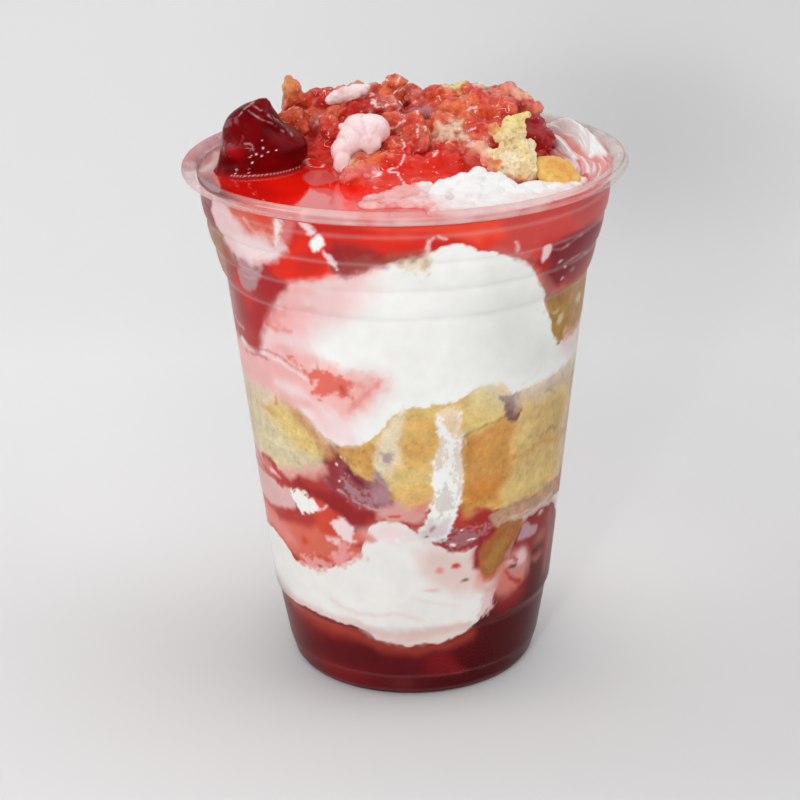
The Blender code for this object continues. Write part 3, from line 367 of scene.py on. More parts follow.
spot cream_deep_rose 1.6 0.7 1.5 0.5: -31 95.6 1.6 0.7
spot cream_rose 2 0.5: -33 100 3 1.2
patch cream_pale_pink 0.9 0.4 1.2 0.5: -55.4 84.6, -53 87, -50 88.8, -46.4 88, -41 87.6, -38 86, -44 84.8,
 -50 83.8
streak cream_deep_rose 0.3 0.8 0.5 1: -50 89.2, -46 88.4, -42 88.6, -38 89
spot cream_dull_pink 0.4: -50.4 87.8 0.35 0.3
patch cream_shade 14: 24 104, 40 98, 50 88, 60 85, 96 87, 96 76, 60 75, 40 75, 24 79, 20 90
patch cream_rose 1.6 0.4 2 0.8: -110 81, -80 81.4, -66 80.6, -57 81.6, -50 82.4, -41 81, -34 79.2, -30 76,
 -31 73, -40 71, -52 73, -70 73, -110 73
patch cream_rose 2.4 0.6 2 0.7: -110 80.6, -80 81, -68 80, -58 80.6, -60 78.4, -80 78, -110 78
patch cream_pale_pink 2.6 0.5 3 0.9: -50 75, -44 77, -36 76.4, -31 73.4, -25.6 66.6, -22 64.6, -18 66,
 -24 71, -34 73.4, -44 74
streak sauce_mid 0.16 0.6 0.2 1 0.85: -57 82.2, -51 82.9, -44 82, -38 80.8, -34 80.2
streak sauce_mid 0.2 0.7 0.4 1 0.7: -68 79.4, -60 80, -56 80.8, -51 80.7
streak cream_pale_pink 0.25 0.6 0.3 1: -62 80.9, -54 81.9, -46 81.2, -38 79.6, -34 78.8
patch cream_flush 2.8 1.6 2 0.85: -40 83.4, -33 83, -24 82.4, -14 81.4, -6 80.6, -9 78, -16 73, -24 72.4,
 -31 74, -33 78.6, -38 81.4
patch cream_coral 0.9 1.3 1.3: -36 80.8, -31 81.2, -26 80.8, -21 80.2, -18 78, -19 75.8, -24 76, -30 76.2,
 -31.6 78.6
streak cream_deep_rose 0.5 1.4 1.1 1.3 0.8: -19 78, -14 78.6, -8.6 80
streak cream_deep_rose 0.5 1.4 1.1 1.3 0.8: -20 72.4, -16.6 74.6, -12.6 77.2
streak cream_coral 0.35 0.8 0.9 0.8 0.8: -41 82.8, -38 82.2, -36 81.4
spot red_fleck 0.9 0.3 1: -21 77.3 0.7 0.8
spot red_fleck 0.4 0 2 0.8: -29.5 74.3 0.4 0.3
streak cream_rose 0.5 2.2 0.5: -37 101.4, -28 102.8, -18 104.2, -8 106.6
patch cake_cream 0.6 1.3 0.9 0.75: -2 107.6, 1 109.4, 5 109.6, 6.4 107, 5 105, 0 106
spot cake_tan 0.6 0.4 1 0.7: 5 106.4 0.6 0.8
patch cream_dull_pink 4 0.5 3 0.5: 60 82, 78 81.6, 110 84, 110 77, 80 76.4, 64 77.6
streak cream_wash 0.3 1.2 0.8 1 0.35: 40 76, 44 76.4, 47 78
# red wedge and what lies left of it
patch sauce_wedge_dull 3 1.6 4: -106 84, -97 82, -62 82, -60 88, -66 96, -100 97
patch sauce_wedge 3 0.6 3: -64 82, -57 82, -50 89, -43 95, -36 101, -42 103, -50 98, -58 92, -64 88
patch sauce_mid 2.4 0.5 2 0.8: -66 81.6, -57 81.8, -54 84.4, -58 86.4, -65 86
patch sauce_wedge 2 0.5 2: -52 93.6, -44 95.8, -37 100, -38 101.4, -46 100.6, -54 96
streak cream_dull_pink 0.35 0.8 0.3 1 0.8: -76 86, -70 84.8, -66 84.9
patch haze_pink 8 1.6 5 0.4: -100 82, -78 83, -70 90, -78 96, -104 98
patch cake_soaked 1.2 0.8 1.8: -108 99, -92 95.6, -78 95.2, -67 97, -61 99.6, -57 103, -53.6 107.4,
 -60 108.6, -70 109, -84 108, -100 104.6
patch cake_umber 1.6 0.6 1.6 0.45: -72 106.6, -60 107.8, -56 106, -62 104, -72 103
patch sauce_wedge_dull 2 0.6 2 0.7: -68 97, -61 98, -58 101.6, -62 104.6, -67 101
patch sauce_maroon_dull 1.2 0.6: -80 108, -64 108.4, -58.6 111, -58.4 117.4, -80 117.6
patch sauce_maroon 2 0 2 0.6: -66 109.6, -60 110.4, -59 116, -64 116
patch bubble 0.8 0.5 1.2 0.85: -58.6 97, -55 95.8, -50 98, -46 101, -43.4 103.8, -48 106, -53 105.6,
 -57 104, -56 101.4, -59 99.4
streak jam_red 0.4 0.9 0.3 1 0.8: -57 104, -54 105.4, -50 104.6, -47 102.8
streak cream_smear 0.12 0.35 0 2 0.7: -56.6 101.8, -52 101.6, -47 101.8
streak cream_smear 0.12 0.35 0 2 0.5: -56 99.6, -52 99.4, -48.6 100
# cream smear under the rim and the red round it
patch cream_smear 1.5 0.9 2.2: -66 111, -62 106.8, -56 104.4, -49 103.4, -41 105.6, -34 107.6, -33 109.4,
 -37 111, -44 112.4, -52 114, -59 117.6, -65 115
patch cream_pale_pink 1.8 0.5: -55 108.4, -48 109.6, -40 109, -35 108, -42 104.8, -49 104
patch sauce_coral 2.2 0.9 2.4 0.95: -57 117.6, -48 117.6, -38 117.6, -37 110.6, -42 111, -50 112.6
patch sauce_bright 2.8 0.6 2 0.6: -47 117.6, -38 117.6, -38.4 112.6, -42 113.4
streak cream_rose 0.25 0.8 0.5 1 0.8: -48 113.6, -43 111.8, -37 111
streak cream_rose 0.3 1 0.5 1 0.8: -47 103.8, -42 104.6, -37 106.4
patch sauce_bright 1.8 0.5: -40 103, -36 107, -31 110, -26 113, -20 113, -22 108, -20 104.6, -28 103,
 -36 101.6
patch sauce_top 1.6 0.4: -30 108, -25 109, -22 106, -27 104.4, -31 105.4
patch cream_rose 1.6 0.6 2 0.4: -37.6 111.6, -36 117.6, -29 117.6, -31 112.6, -34 110.4
patch sauce_top 2 0.4: -24 117.6, -8 117.6, -8 112, -18 111, -20 113
patch sauce_blood 1.8 1 1.5 0.9: -20 111.6, -10 110.8, -3 109.4, -6 107, -14 105, -19.6 105
patch sauce_brown 0.6 1.6 0.8 0.3: -16 108.6, -6 109, -4 107.4, -10 105.8, -17 105.6
patch sauce_fire 2.4 0.5 3 0.9: -12 117.6, 32 117.6, 31 112.4, 22 110.6, 15 112, 6 113.6, -6 113.6
patch sauce_bright 2 0.8 2 0.7: -12 113.4, 4 113.4, 5 109.8, -2 108.8, -6 110.4
patch sauce_brown 1.4 0.9 1.3 0.7: -4 110, 4 110.6, 5.6 108.8, 0 107.8, -4 108.2
patch cream 0.8 0.7 1 0.8: -36.6 109.6, -36.4 113, -36.8 117, -35.2 117.6, -34.6 113.4, -35 110.6
patch cream_pale_pink 0.6 0.4 1: -31 117.4, -27.6 116.4, -24.4 113.6, -25.6 112.8, -28.6 115
patch cream 0.4 0.25 0.9: -25.6 110.6, -24.4 112.4, -22.4 112.8, -21.6 111.4, -23 109.8, -24.6 109
patch cream_pale_pink 0.4 0.3 0.8 0.9: -22.6 109.6, -20.6 109, -18.6 106.2, -19.2 105.6, -21.4 107.4
streak cream_pink 0.22 0.35 0.3 1 0.9: 5 109.4, 5.3 112, 7.4 113
spot cream_pink 0.4: 5.6 111.4 0.35 1
streak cream_pink 0.15 0.3: 8.6 113.2, 10.4 112.8
# red band and maroon on the right
patch sauce_band 3.4 0.6 3: 30 117.6, 80 117.6, 76 110, 60 108.4, 45 108.6, 34 107.6, 28 109.6
patch sauce_band_dull 4 0.5 3 0.8: 50 117.6, 90 117.6, 84 110, 66 109, 54 110
spot sauce_bright 1.6 0.4 2 0.6: 22 111.6 1.6 1.6
spot sauce_coral 1.6 0 2 0.5: 19 113.4 3 0.6
patch sauce_maroon 2.2 0.7 2: 30.6 106.6, 37 104.6, 45 107.4, 58 108.6, 74 107, 74 101, 64 97.6, 53 96.8,
 48 96.6, 43.6 100, 39 103
patch sauce_top 1.8 0.5 2 0.5: 33 107.6, 38 107.6, 42 105, 45 101, 41 101, 37 104
patch sauce_maroon_dull 2 0.7 2 0.8: 56 99.6, 76 101, 90 97, 84 94.6, 62 95, 54 96.4
patch sauce_brown 1 0.6 1.2 0.7: 42 100.6, 46 98, 48.6 95, 46.6 94, 43.6 97.4
streak sauce_coral 0.2 0.8 0.4 1 0.6: 31 106.4, 35 104.4, 40 101.4, 44 97
patch cream_smear 0.35 0.15 1: 40.4 104, 40.2 106.6, 42.2 107.6, 43.4 106.8, 42.2 104.6
streak cream_dull_pink 0.12 0.4 0.3 1 0.5: 44 106, 48 105.4, 52 106.2, 58 107
streak cream_dull_pink 0.12 0.4 0.3 1 0.5: 51 101.6, 55 101.6, 60 102, 68 100.6
streak cream_pink 0.2 0.35 0.4 1 0.7: 30 110.2, 31 109, 31 107.4
spot glint 0.4 0.3 0.6 0.7: 48.4 102.4 0.35 0.25
spot glint 0.35 0.3 0.6 0.7: 51.6 97.7 0.3 0.2
spot glint 0.35 0.3 0.6 0.6: 52.6 100.5 0.3 0.2
spot glint 0.35 0.3 0.6 0.5: 57.4 98.8 0.4 0.15
# cake on the upper right
patch cake_olive 0.9 0.9 1.2: 48.2 94, 54 95, 66 94.8, 82 94.8, 95 93, 99 89.4, 92 84.4, 76 82.4, 62 82,
 54.6 83, 51 86.6, 48.6 90
patch cake_umber 1.6 0.8 1.6 0.75: 49 94, 58 94.6, 66 94, 62 91.4, 54 91.4
patch cake_beige 3.4 0.8 2.5 0.45: 62 93.6, 80 94, 100 92, 96 85, 76 83, 66 84.4, 62 89
spot cake_cream 0.8 0.4 1 0.6: 56 88 1.2 0.9
spot cake_cream 0.7 0.3 1 0.6: 52.8 90.2 0.8 0.5
spot cake_cream 0.9 0.4 1 0.6: 69 89.6 1.7 1
spot cake_cream 0.8 0.4 1 0.5: 60 84 0.9 0.7
patch cream_blush 1.4 0.6 1.5 0.6: 60 83.6, 70 84, 84 84.6, 84 82, 70 81.4, 60 81.6
""")

# Toppings
# Marks on the pool in plan: a pale streak left of the strawberry that is a painted reflection, pink films
# between it and the heap whose colour is a painted reflection, thin painted highlight lines there, and the
# outline of the pink that seeps from the front cream into the pool.
POOL_STREAK = table("-42.4 14, -42.3 8.6, -42.9 4.5, -43.6 1.5, -44.6 -1.7")
POOL_FILMS = lines("""
-22.6 -8.6, -20.5 -2.8, -14 -3.2, -13 -9, -16.2 -13.6, -19.6 -15; -20.8 -18, -16 -17.6, -12.8 -27,
-13.6 -38, -21.6 -38, -21.8 -24; -24 22, -16 24, -13.6 15, -17 8, -21 7, -24 12
""")
FILM_SEEP = table("-8 -35, -9 -29, -5 -24, -3 -18, 2 -13, 9 -14, 13 -22, 12 -36, 0 -38")
POOL_LINES = lines("""
-20.9 9.6, -21.9 6, -20.8 0.9, -18.3 -0.2, -17.5 3.9, -19.2 6; -21.4 11.4, -19.6 10.2, -17.8 11.6
""")
HEAP_CENTRE = (2.0, 8.0)
HEAP_REACH = {0: 29, 30: 28, 60: 28, 90: 29, 120: 33, 150: 35, 166: 31, 180: 20, 200: 18, 225: 22, 246: 26,
              260: 27, 272: 24, 285: 22, 307: 20, 325: 22, 345: 28}
# Lumps of the heap: x, y and height of the centre, radius, and upward stretch where it isn't 1.
HEAP_CORE = table("""
-19 24 119.5 6, -11 24 120.5 6.4, -4 15 119.5 7, 6 17 120 7.4, 18 11 119.5 7, 8 29 119.8 6.8,
-8 31 119.2 6.4, 20 25 119.4 6.2, -16 12 117 4.6, 12 2 118.4 6.2, -2 -2 117 5
""")
HEAP_LUMPS = table("""
-26.2 25 130.4 0.9 1.4, -25.6 25 128 2.2 1.3, -25.2 25 125.4 3.2, -25 25 121.6 3.8, -22.6 25 125.1 2.4,
-20.2 24 126 2.8, -17.4 23 126.2 3, -26.5 14 123.2 2.9, -24.1 15 123.2 2.9, -22.8 13 122 2.2,
-15.6 16 123.9 3.2, -16.6 10 123 3, -14.8 8 121.9 2.8, -14.2 25 126.2 3, -10.5 25 126.4 3.2,
-6.8 24 126.5 3.4, -1.6 21 129.2 3.1 1.1, -2.2 21 131.6 1.6, -3.5 20 125.6 3.6, -11 13 125.4 3.8,
-7.1 14 125.7 3.8, -3.5 14 125.4 3.6, -2 6 123.6 4, 1.4 5 123.2 4.2, 2.4 0 121.7 4.2, -1.4 -3 120.5 4,
-9.3 -10 118.6 3.6, -5.8 -9 118.3 4, -2.1 -8 118.6 4, -11.4 -13 117.6 3, 2.2 -9 117.8 3.6, 6 -8 117.8 3.8,
9.9 -7 118.2 4, 5.2 21 125.6 3.6, 7.5 20 126.5 3.8, 10.7 20 126.1 4.2, 13.9 20 127.2 3.7, 17.5 19 126.4 4.1,
20.7 18 126.8 3.7, 23.7 15 127 4.3, 26 13 126.6 3.5, 11.5 10 124.8 5, 16.1 11 125 5, 21.6 9 125.1 4.8,
8.7 5 122.9 4.6, 12.9 4 122.6 5, 16.8 2 122.1 4.6, 20.6 2 122.2 4.4, 29.3 11 125.8 1.9, 14.4 -3 119.5 4,
10.1 -1 120.2 4.2, 28.4 5 123.4 3.3, 30.3 2 121.8 3, 27.5 2 121.6 3.4, 27.5 11 121 4.6, 26 22 120 4.4,
0 33 120.5 4.6, 14 31 121.6 4.2, -18 31 120.4 4, 2 28 124.6 3.8, 12 26 125 3.6
""")
# Colours of the heap round a point: x, y, height, radius, width of the edge, strength. The grey-mauve syrup
# colour is a painted reflection of the bright sky on wet syrup.
HEAP_STAINS = table("""
crumb_gold -27 25 128 3.2 2 0.85, crumb_orange -25 25 124 4 2.5 0.8, soak_deep -19 24 125 4.5 3 0.5,
crumb_orange -25 14 123 5 2 0.9, syrup_grey -19 16 119 4.5 3 0.9, soak_orange -16 14 124 4.5 2.5 0.75,
crumb_beige -11 26 129 4.5 2.5 0.5, soak_orange -2 20 130 5 2.5 0.8, soak_deep -8 12 126 5 3 0.6,
syrup_grey 3 12 122 5 3 0.9, crumb_yellow 12 20 131.2 3.2 1.4 0.9, crumb_pale 18 19 131 3 1.2 0.85,
crumb_beige 27 12 130 2.2 1.2 0.8, soak_orange 12 7 127 5 3 0.7, crumb_beige 10 -0.5 124.2 4 1.6 0.95,
soak_pink 24 13 128 5 3 0.5, syrup_dark 27 8 127.4 2.4 1 0.95, syrup_dark 29 3 122 5.6 2 0.95,
soak_orange -9 -10 121 5 3 0.8, crumb_beige -12.6 -11.4 120 2.2 1.4 0.9, syrup_red 3 -9 119 6 3 0.9,
syrup_red 9 -8 119 5 3 0.9, syrup_red -3 -13 117 5 3 0.9, soak_pink 16 -5 121 3 3 0.7,
syrup_red -17 8 118 4 3 0.8
""")
# Thin lines on what faces the front, each of points across and up as draw_lines reckons them.
HEAP_GLINTS = lines("""
-6.9 119.4, -4.3 118.9, -1.7 119.3, 0.1 120.6; -2.1 116.8, -1.6 117.4, 0.4 117.5, 2.4 117.9, 4 118.4;
-1.9 117.2, -0.2 118.3, 1.2 118.6; 2.9 121.2, 3.2 122.5, 4.2 122, 4.7 121.1; 4.5 124.5, 6 124, 6.9 123.8;
6.2 120.7, 7.3 121.3, 8.6 121.5; -7.1 118.3, -7.4 117.5, -6.7 116.9; -20.2 129.6, -21.4 128.6, -21.1 127.4;
-17.4 126.6, -15.8 127.4, -14.4 127.2; -10.4 127.6, -9 129.4, -8.4 131.6; -2.6 128.8, -0.8 129.8, 0.6 130.2;
13.4 119.8, 15.4 120.4; -4.9 114.8, -3.4 115.2, -3.2 114.4; 8.6 127.6, 9.8 128.4, 11 128.2
""")
DOLLOP_CREASES = lines("""
-12 127.8, -10.4 129.6, -7.8 130.4, -5.4 130, -3.6 128.2; -10.1 129.4, -8.9 126.4, -7.5 123.2, -5.6 125.8
""")
DOLLOP_GLINTS = lines("-8.2 128.2, -8 128.6; -7.8 125.2, -7.6 125.8; -12.2 122.6, -12 123.2")
STRAWBERRY_BASE = (-32.2, 0.6)
STRAWBERRY_HALF = (10.4, 8.0)
STRAWBERRY_TURN = 30.0
STRAWBERRY_TIP = (-30.3, -2.0, 132.5)
# Along its height: share, size against the base, and how far the middle stands to the left.
STRAWBERRY_FORM = table("""
0 1.02 0, 0.08 0.98 -0.2, 0.17 1 -1, 0.335 0.98 -1.3, 0.457 0.88 -0.4, 0.56 0.75 0.8, 0.67 0.63 1.7,
0.774 0.53 2, 0.854 0.42 1.8, 0.92 0.32 1.4, 0.97 0.2 0.6, 1 0.04 0
""")
# Bumps and hollows round it: angle, share of the height, half width in degrees, half height, rise.
BERRY_BUMPS = table("""
-62 0.88 12 0.05 0.9, -50 0.8 11 0.06 1, -36 0.72 11 0.06 0.9, -24 0.62 11 0.07 0.7, -84 0.78 15 0.1 -0.5,
-48 0.62 14 0.06 -0.5, -128 0.38 14 0.09 1.9, -104 0.3 8 0.1 -0.6, -128 0.2 16 0.06 -0.8,
-128 0.52 18 0.04 -0.6
""")
# Painted sparkles on its front: x, height, radius. Thin painted highlights along its folds there: lines of x
# and height.
BERRY_GLINTS = table("""
-30.4 122.9 0.24, -31.9 121.8 0.26, -30.9 121.3 0.2, -33 121.4 0.15, -33.5 121 0.19, -32.9 119.9 0.25,
-36.4 118.2 0.17, -33.8 118.5 0.12, -33.8 117.6 0.16, -36.7 117.4 0.12, -29.4 122 0.13, -27.6 122.2 0.14,
-28.3 124.1 0.1, -30.7 124.3 0.11, -31.7 123 0.1, -32.9 118.8 0.1
""")
BERRY_FOLDS = lines("""
-37.9 121.4, -37.2 122.8, -35.8 123.5, -34.2 123.4, -33.2 122.6, -33 121.6; -34.6 123.9, -33.2 123.9,
-32.4 123.1, -32.6 122.2; -33.6 130.6, -31.8 129.2, -30.4 128.4, -28.8 127.6, -27.4 126.4, -26.2 125.4;
-32.6 131.6, -31 130.6, -29.8 130.3; -29.4 129.4, -28.2 128.2, -27.4 127.4; -35.6 129.4, -34.2 131,
-32.4 132; -26.6 127, -25.4 125.6, -24.4 124.2
""")
# Balls of x, y, height and three radii.
DOLLOPS = entries("""
back_dollop: -16.3 13 128.5 1.3 1.3 1.1, -14.7 13 129.2 2 1.8 1.6, -12.9 13 129.7 2.2 2 1.8,
 -11.1 13 130.1 2.1 1.9 1.7, -9.5 13 130.7 1.6 1.5 1.2, -8.4 13 131.2 1 1 0.7
front_dollop: -7.6 -4 125.6 4.7 4 3.6, -11.4 -5 123.5 3.3 3.2 3.2, -7.4 -6.5 123.6 2.5 2.3 2.6,
 -7.5 -7.2 121.9 1 1 1.6, -13.4 -6.5 121.6 2.5 2.4 3, -13.4 -8.5 119.6 2.1 1.9 2.4,
 -12.6 -9.5 118.2 1.4 1.3 1.4, -13.3 -4 126.4 0.9 0.8 0.8, -9.6 -3 126.6 3.6 3 2.4
""")
PLAIN_CRUMB = table("""
23.5 -14 119.8 4.6 4.2 3.9, 20.8 -13.5 120.6 3.2 3.2 3.2, 26.4 -13.5 120.7 2 2.6 2.8,
23.6 -16 118.2 4 2.8 2.4, 20.4 -15.2 118.6 3 2.8 2.4, 26.4 -15 118.4 2.6 2.6 2.4, 24 -13 122.8 3.2 3 2.5,
21.7 -12.5 123.2 1.7 2 1.8, 22.6 -12 125.9 2.3 2.2 2.3, 23 -11.5 127.9 2.2 2 1.9,
24.5 -11.5 129.3 1.6 1.5 1.3, 26 -11.5 130.1 1.1 1.1 0.8, 25.1 -11.5 127 1 1.4 2.2,
19.2 -11 127 1.4 1.4 1.5, 20.4 -11.5 125.6 1.5 1.5 1.3, 16.4 -10 122.4 1.9 1.8 1.7,
18.2 -12 120.9 2.3 2.2 2.1, 27 -12.5 123.7 1 1.1 1.2, 21.6 -14.5 118.4 2.9 2.8 2.1
""")
FRONT_CREAM = table("""
15.2 -25 119.8 2.5 2.4 2.7, 12.8 -26 118.6 3.8 3.2 2.7, 9.4 -26.5 118.4 3.4 3.2 2,
18.3 -25 118.9 3.2 2.8 2.3, 20.8 -26 118.1 2.6 2.6 1.8, 7.3 -27.5 118 2.8 2.8 1.4, 13.5 -29 118 4.2 3 2,
16.9 -28 117.9 3.8 3 1.9, 26.4 -24.5 117.5 3 2.2 1.3, 30.7 -23 117 3.2 2 1.1, 23.1 -26.5 117.4 3 2.4 1.2,
35.1 -20 116.6 2.6 1.8 1.1, 37.4 -17 116.6 1.6 1.8 1.1
""")
# Outline of the golden wedge in plan, and how its top slopes: height at its middle, rise along x and y.
GOLDEN_WEDGE = table("""
27.8 -11.8, 30.2 -11, 33 -11.2, 35.2 -12.8, 36.7 -15.6, 37.2 -18.4, 36.2 -21.2, 33.4 -23.2, 31.2 -22,
29.4 -19.4, 27.8 -15.8, 27.3 -13.2
""")
WEDGE_TOP = (119.5, -0.02, 0.44)
WEDGE_THICKNESS = 2.4
# The thin cream round the front cream: first and last angle, inner and outer radius, height. Then its further
# balls: x, y, radius.
CREAM_FILM = (6.0, 68.0, 27.0, 44.0, 1.2)
FILM_BALLS = table("""
-7 -31.6 3, -6.6 -27 2.6, -3.2 -30.4 3.9, -2.6 -24.4 3.4, 0 -20.4 3, 1.4 -30 4.4, 2.6 -23.2 3.8,
3.4 -17.6 3, 5.6 -31 4.6, 6.6 -22.8 4, 6 -13.8 2.2
""")
SWIRL_TURNS = (54.0, 140.0)
SWIRL_RADII = (33.0, 45.7)
SWIRL_BED = {54: 0.6, 80: 0.9, 92: 1.3, 104: 2.2, 124: 2.4, 140: 0.8}
SWIRL_CREST = {54: 0, 88: 0, 92: 0.7, 96: 2.2, 101: 3.2, 114: 4.3, 121: 3.4, 129: 1.4, 138: 0}
SWIRL_DRIFT = {54: -5.0, 84: -3.0, 94: -0.6, 104: 0.0, 140: 1.2}
# Strands of the swirl: colour, half width, rise, strength, then the line of angle and radius.
SWIRL_STRANDS = entries("""
sauce_coral 1 -0.5 0.75: 131 40, 118 39.1, 110 38.7, 102 38.3, 95 38.5, 91 40, 87 41.8
cream_deep_rose 1.3 0 0.8: 92 39.6, 86 42.2, 80 43.6, 72 44.2
soak_deep 1.5 -0.6 0.95: 136 37.4, 126 37, 118 36.4, 112 35.6, 104 34.2
cream_pale_pink 0.5 0.5 0.9: 112 37.3, 102 36.8, 95 37.2, 88 38.6, 80 40, 70 41.2
white 0.9 1.5 1: 113 36.3, 108 35.9, 102 35.3, 96 35.5, 91 36.1, 87 37
cream_rose 0.3 -0.2 0.9: 90 37.9, 82 39.2, 74 40.2, 64 41
white 0.25 0.3 0.7: 89 39, 82 40.2, 75 41, 66 42
sauce_coral 0.25 -0.2 0.8: 86 38.2, 79 38.9, 72 39.6, 66 40.4
white 0.22 0.3 0.6: 84 42.4, 77 43.2, 70 43.6
sauce_bright 0.9 -0.2 0.9: 71 40.6, 67 41.5, 63 41.8
sauce_coral 0.22 0 0.6: 90 43.6, 84 44.4, 76 44.8, 66 44.6
""")
SWIRL_RIDGE = table("126 39.6, 117 40.2, 109 40.8, 101 41, 95 41.8, 91 42.6")
SWIRL_FAN = lines("101 41.4, 95 41.2, 91 40.8; 99 42.2, 94 43.4, 91 44.2")

# Stage
KEY_LIGHT = (-0.100, -0.463, 0.230)
# Soft panels that light without being mirrored: name, place, size, energy.
FILLS = [("front", (-0.1, -1.0, 0.6), (1.2, 0.9), 5.2), ("left", (-1.0, -0.4, 0.5), (0.8, 0.8), 2.2),
         ("right", (1.0, -0.4, 0.5), (0.8, 0.8), 2.4), ("top", (0.0, 0.0, 1.0), (0.7, 0.7), 1.4)]
CAMERA_PLACE = (0.0, -0.463134, 0.238748)
CAMERA_PITCH, CAMERA_YAW, CAMERA_ROLL = 0.366, -0.0046, -0.0209
CAMERA_LENS = 97.45
# A painted pool of light behind the foot and a painted shadow far behind the rim: centre, radius, factor.
BACKDROP_SPOTS = [((0.035, 0.01, 0), 0.085, 1.16), ((0.088, 0.36, 0.03), 0.085, 0.87)]


# Numbers
def linear(code):
    """A screen colour of six hexadecimal digits as the linear red, green and blue that shaders take."""
    value = np.array([int(code[k:k + 2], 16) for k in (0, 2, 4)]) / 255
    return np.where(value <= 0.04045, value / 12.92, ((value + 0.055) / 1.055) ** 2.4)


def chance(cells, seed):
    """A fixed random number from 0 to 1 for each cell of three whole numbers: their products with odd
    constants, shifted and mixed."""
    cells = cells.astype(np.int64).astype(np.uint32)
    mixed = (cells[..., 0] * np.uint32(374761393) + cells[..., 1] * np.uint32(668265263)
             + cells[..., 2] * np.uint32(2246822519) + np.uint32(seed * 7919 + 17))
    mixed = (mixed ^ (mixed >> np.uint32(13))) * np.uint32(1274126177)
    mixed = (mixed ^ (mixed >> np.uint32(15))) * np.uint32(2654435761)
    return (mixed ^ (mixed >> np.uint32(16))) / 4294967295.0


def clouds(points, size, seed=0, octaves=3):
    """Smooth noise from about -1 to 1: chances at the corners of a lattice of this size, blended with
    3t^2 - 2t^3, and halved in size and height for each further octave."""
    total, height, reach = np.zeros(len(points)), 1.0, 0.0
    for octave in range(octaves):
        place = points / (size / 2 ** octave) + 31.7 * octave
        cell = np.floor(place)
        t = ease(place - cell)
        value = np.zeros(len(points))
        for corner in np.ndindex(2, 2, 2):
            weight = np.prod(np.where(np.array(corner), t, 1 - t), axis=1)
            value += weight * chance(cell + corner, seed + octave)
        total += height * (2 * value - 1)
        reach += height
        height *= 0.55
    return 1.7 * total / reach


def cloudy(points, size, seed, middle, gain):
    """A cover from 0 to 1 in soft patches: the clouds times the gain, about a middle value, eased."""
    return ease(middle + gain * clouds(points, size, seed))


def pebbles(points, size, seed=0):
    """Distance to the nearest of one random point a cell, as a share of the cell's size, how much further
    the second nearest is, and that nearest point's own chance."""
    place = points / size
    home = np.floor(place)
    near = np.full(len(points), 9.0)
    second = np.full(len(points), 9.0)
    mark = np.zeros(len(points))
    for step in np.ndindex(3, 3, 3):
        cell = home + np.array(step) - 1
        spread = np.stack([chance(cell, seed + k) for k in range(3)], axis=1)
        distance = np.linalg.norm(place - cell - spread, axis=1)
        closer = distance < near
        second = np.where(closer, near, np.minimum(second, distance))
        mark = np.where(closer, chance(cell, seed + 5), mark)
        near = np.where(closer, distance, near)
    return near, second - near, mark


def ease(share):
    """3t^2 - 2t^3 of the share, held between 0 and 1."""
    share = np.clip(share, 0, 1)
    return share * share * (3 - 2 * share)


def peak(off):
    """A bell: e to the power of minus the square."""
    return np.exp(-off ** 2)


def between(curve, at):
    """Straight lines between the knots of a curve."""
    return np.interp(at, list(curve), list(curve.values()))


def round_curve(knots, angle):
    """A curve through the knots of a full turn that never swings past them: cubic pieces whose slope at a
    knot is the harmonic mean of its neighbours' slopes, or zero at a peak."""
    at = np.array(sorted(knots), float)
    value = np.array([knots[key] for key in sorted(knots)], float)
    at = np.concatenate([at - 360, at, at + 360])
    value = np.tile(value, 3)
    step = np.diff(at)
    slope = np.diff(value) / step
    before, after = slope[:-1], slope[1:]
    same_way = before * after > 0
    inner = np.where(same_way, 2 * before * after / np.where(same_way, before + after, 1), 0)
    tangent = np.concatenate([[0], inner, [0]])
    piece = np.clip(np.searchsorted(at, angle, side="right") - 1, 0, len(step) - 1)
    share = (angle - at[piece]) / step[piece]
    run = step[piece]
    return (value[piece] * (1 + 2 * share) * (1 - share) ** 2
            + value[piece + 1] * share ** 2 * (3 - 2 * share)
            + run * tangent[piece] * share * (1 - share) ** 2
            - run * tangent[piece + 1] * share ** 2 * (1 - share))


def closed_curve(points, count):
    """The closed smooth curve through the points (Catmull-Rom), sampled count times."""
    points = np.array(points, float)
    size = len(points)
    share = np.arange(count) * size / count
    i = share.astype(int)
    t = (share - i)[:, None]
    a, b, c, d = (points[(i + k) % size] for k in (-1, 0, 1, 2))
    return 0.5 * (2 * b + (c - a) * t + (2 * a - 5 * b + 4 * c - d) * t ** 2
                  + (3 * b - a - 3 * c + d) * t ** 3)


def line_distance(u, v, line, closed=False):
    """Distance from the points to a line of points in the plane, negative inside it where it is closed."""
    line = np.asarray(line)
    ends = np.roll(line, -1, axis=0) if closed else line[1:]
    nearest = np.full(len(u), 1e9)
    inside = np.zeros(len(u), bool)
    for (au, av), (bu, bv) in zip(line, ends):
        du, dv = bu - au, bv - av
        share = np.clip(((u - au) * du + (v - av) * dv) / (du * du + dv * dv + 1e-12), 0, 1)
        nearest = np.minimum(nearest, (u - au - share * du) ** 2 + (v - av - share * dv) ** 2)
        if closed:
            crosses = (av > v) != (bv > v)
            inside ^= crosses & (u < au + du * (v - av) / (dv if dv else 1e-12))
    return np.where(inside, -1, 1) * np.sqrt(nearest)


def angle_of(points):
    """Degrees from the front, growing towards +X."""
    return np.degrees(np.arctan2(points[:, 0], -points[:, 1]))


def from_axis(points):
    return np.hypot(points[:, 0], points[:, 1])


def on_wall(angle, radius, height):
    """Points at this angle from the front, radius and height, as an array of x, y, z."""
    turn = np.radians(angle)
    return np.stack(np.broadcast_arrays(radius * np.sin(turn), -radius * np.cos(turn), height), axis=-1)


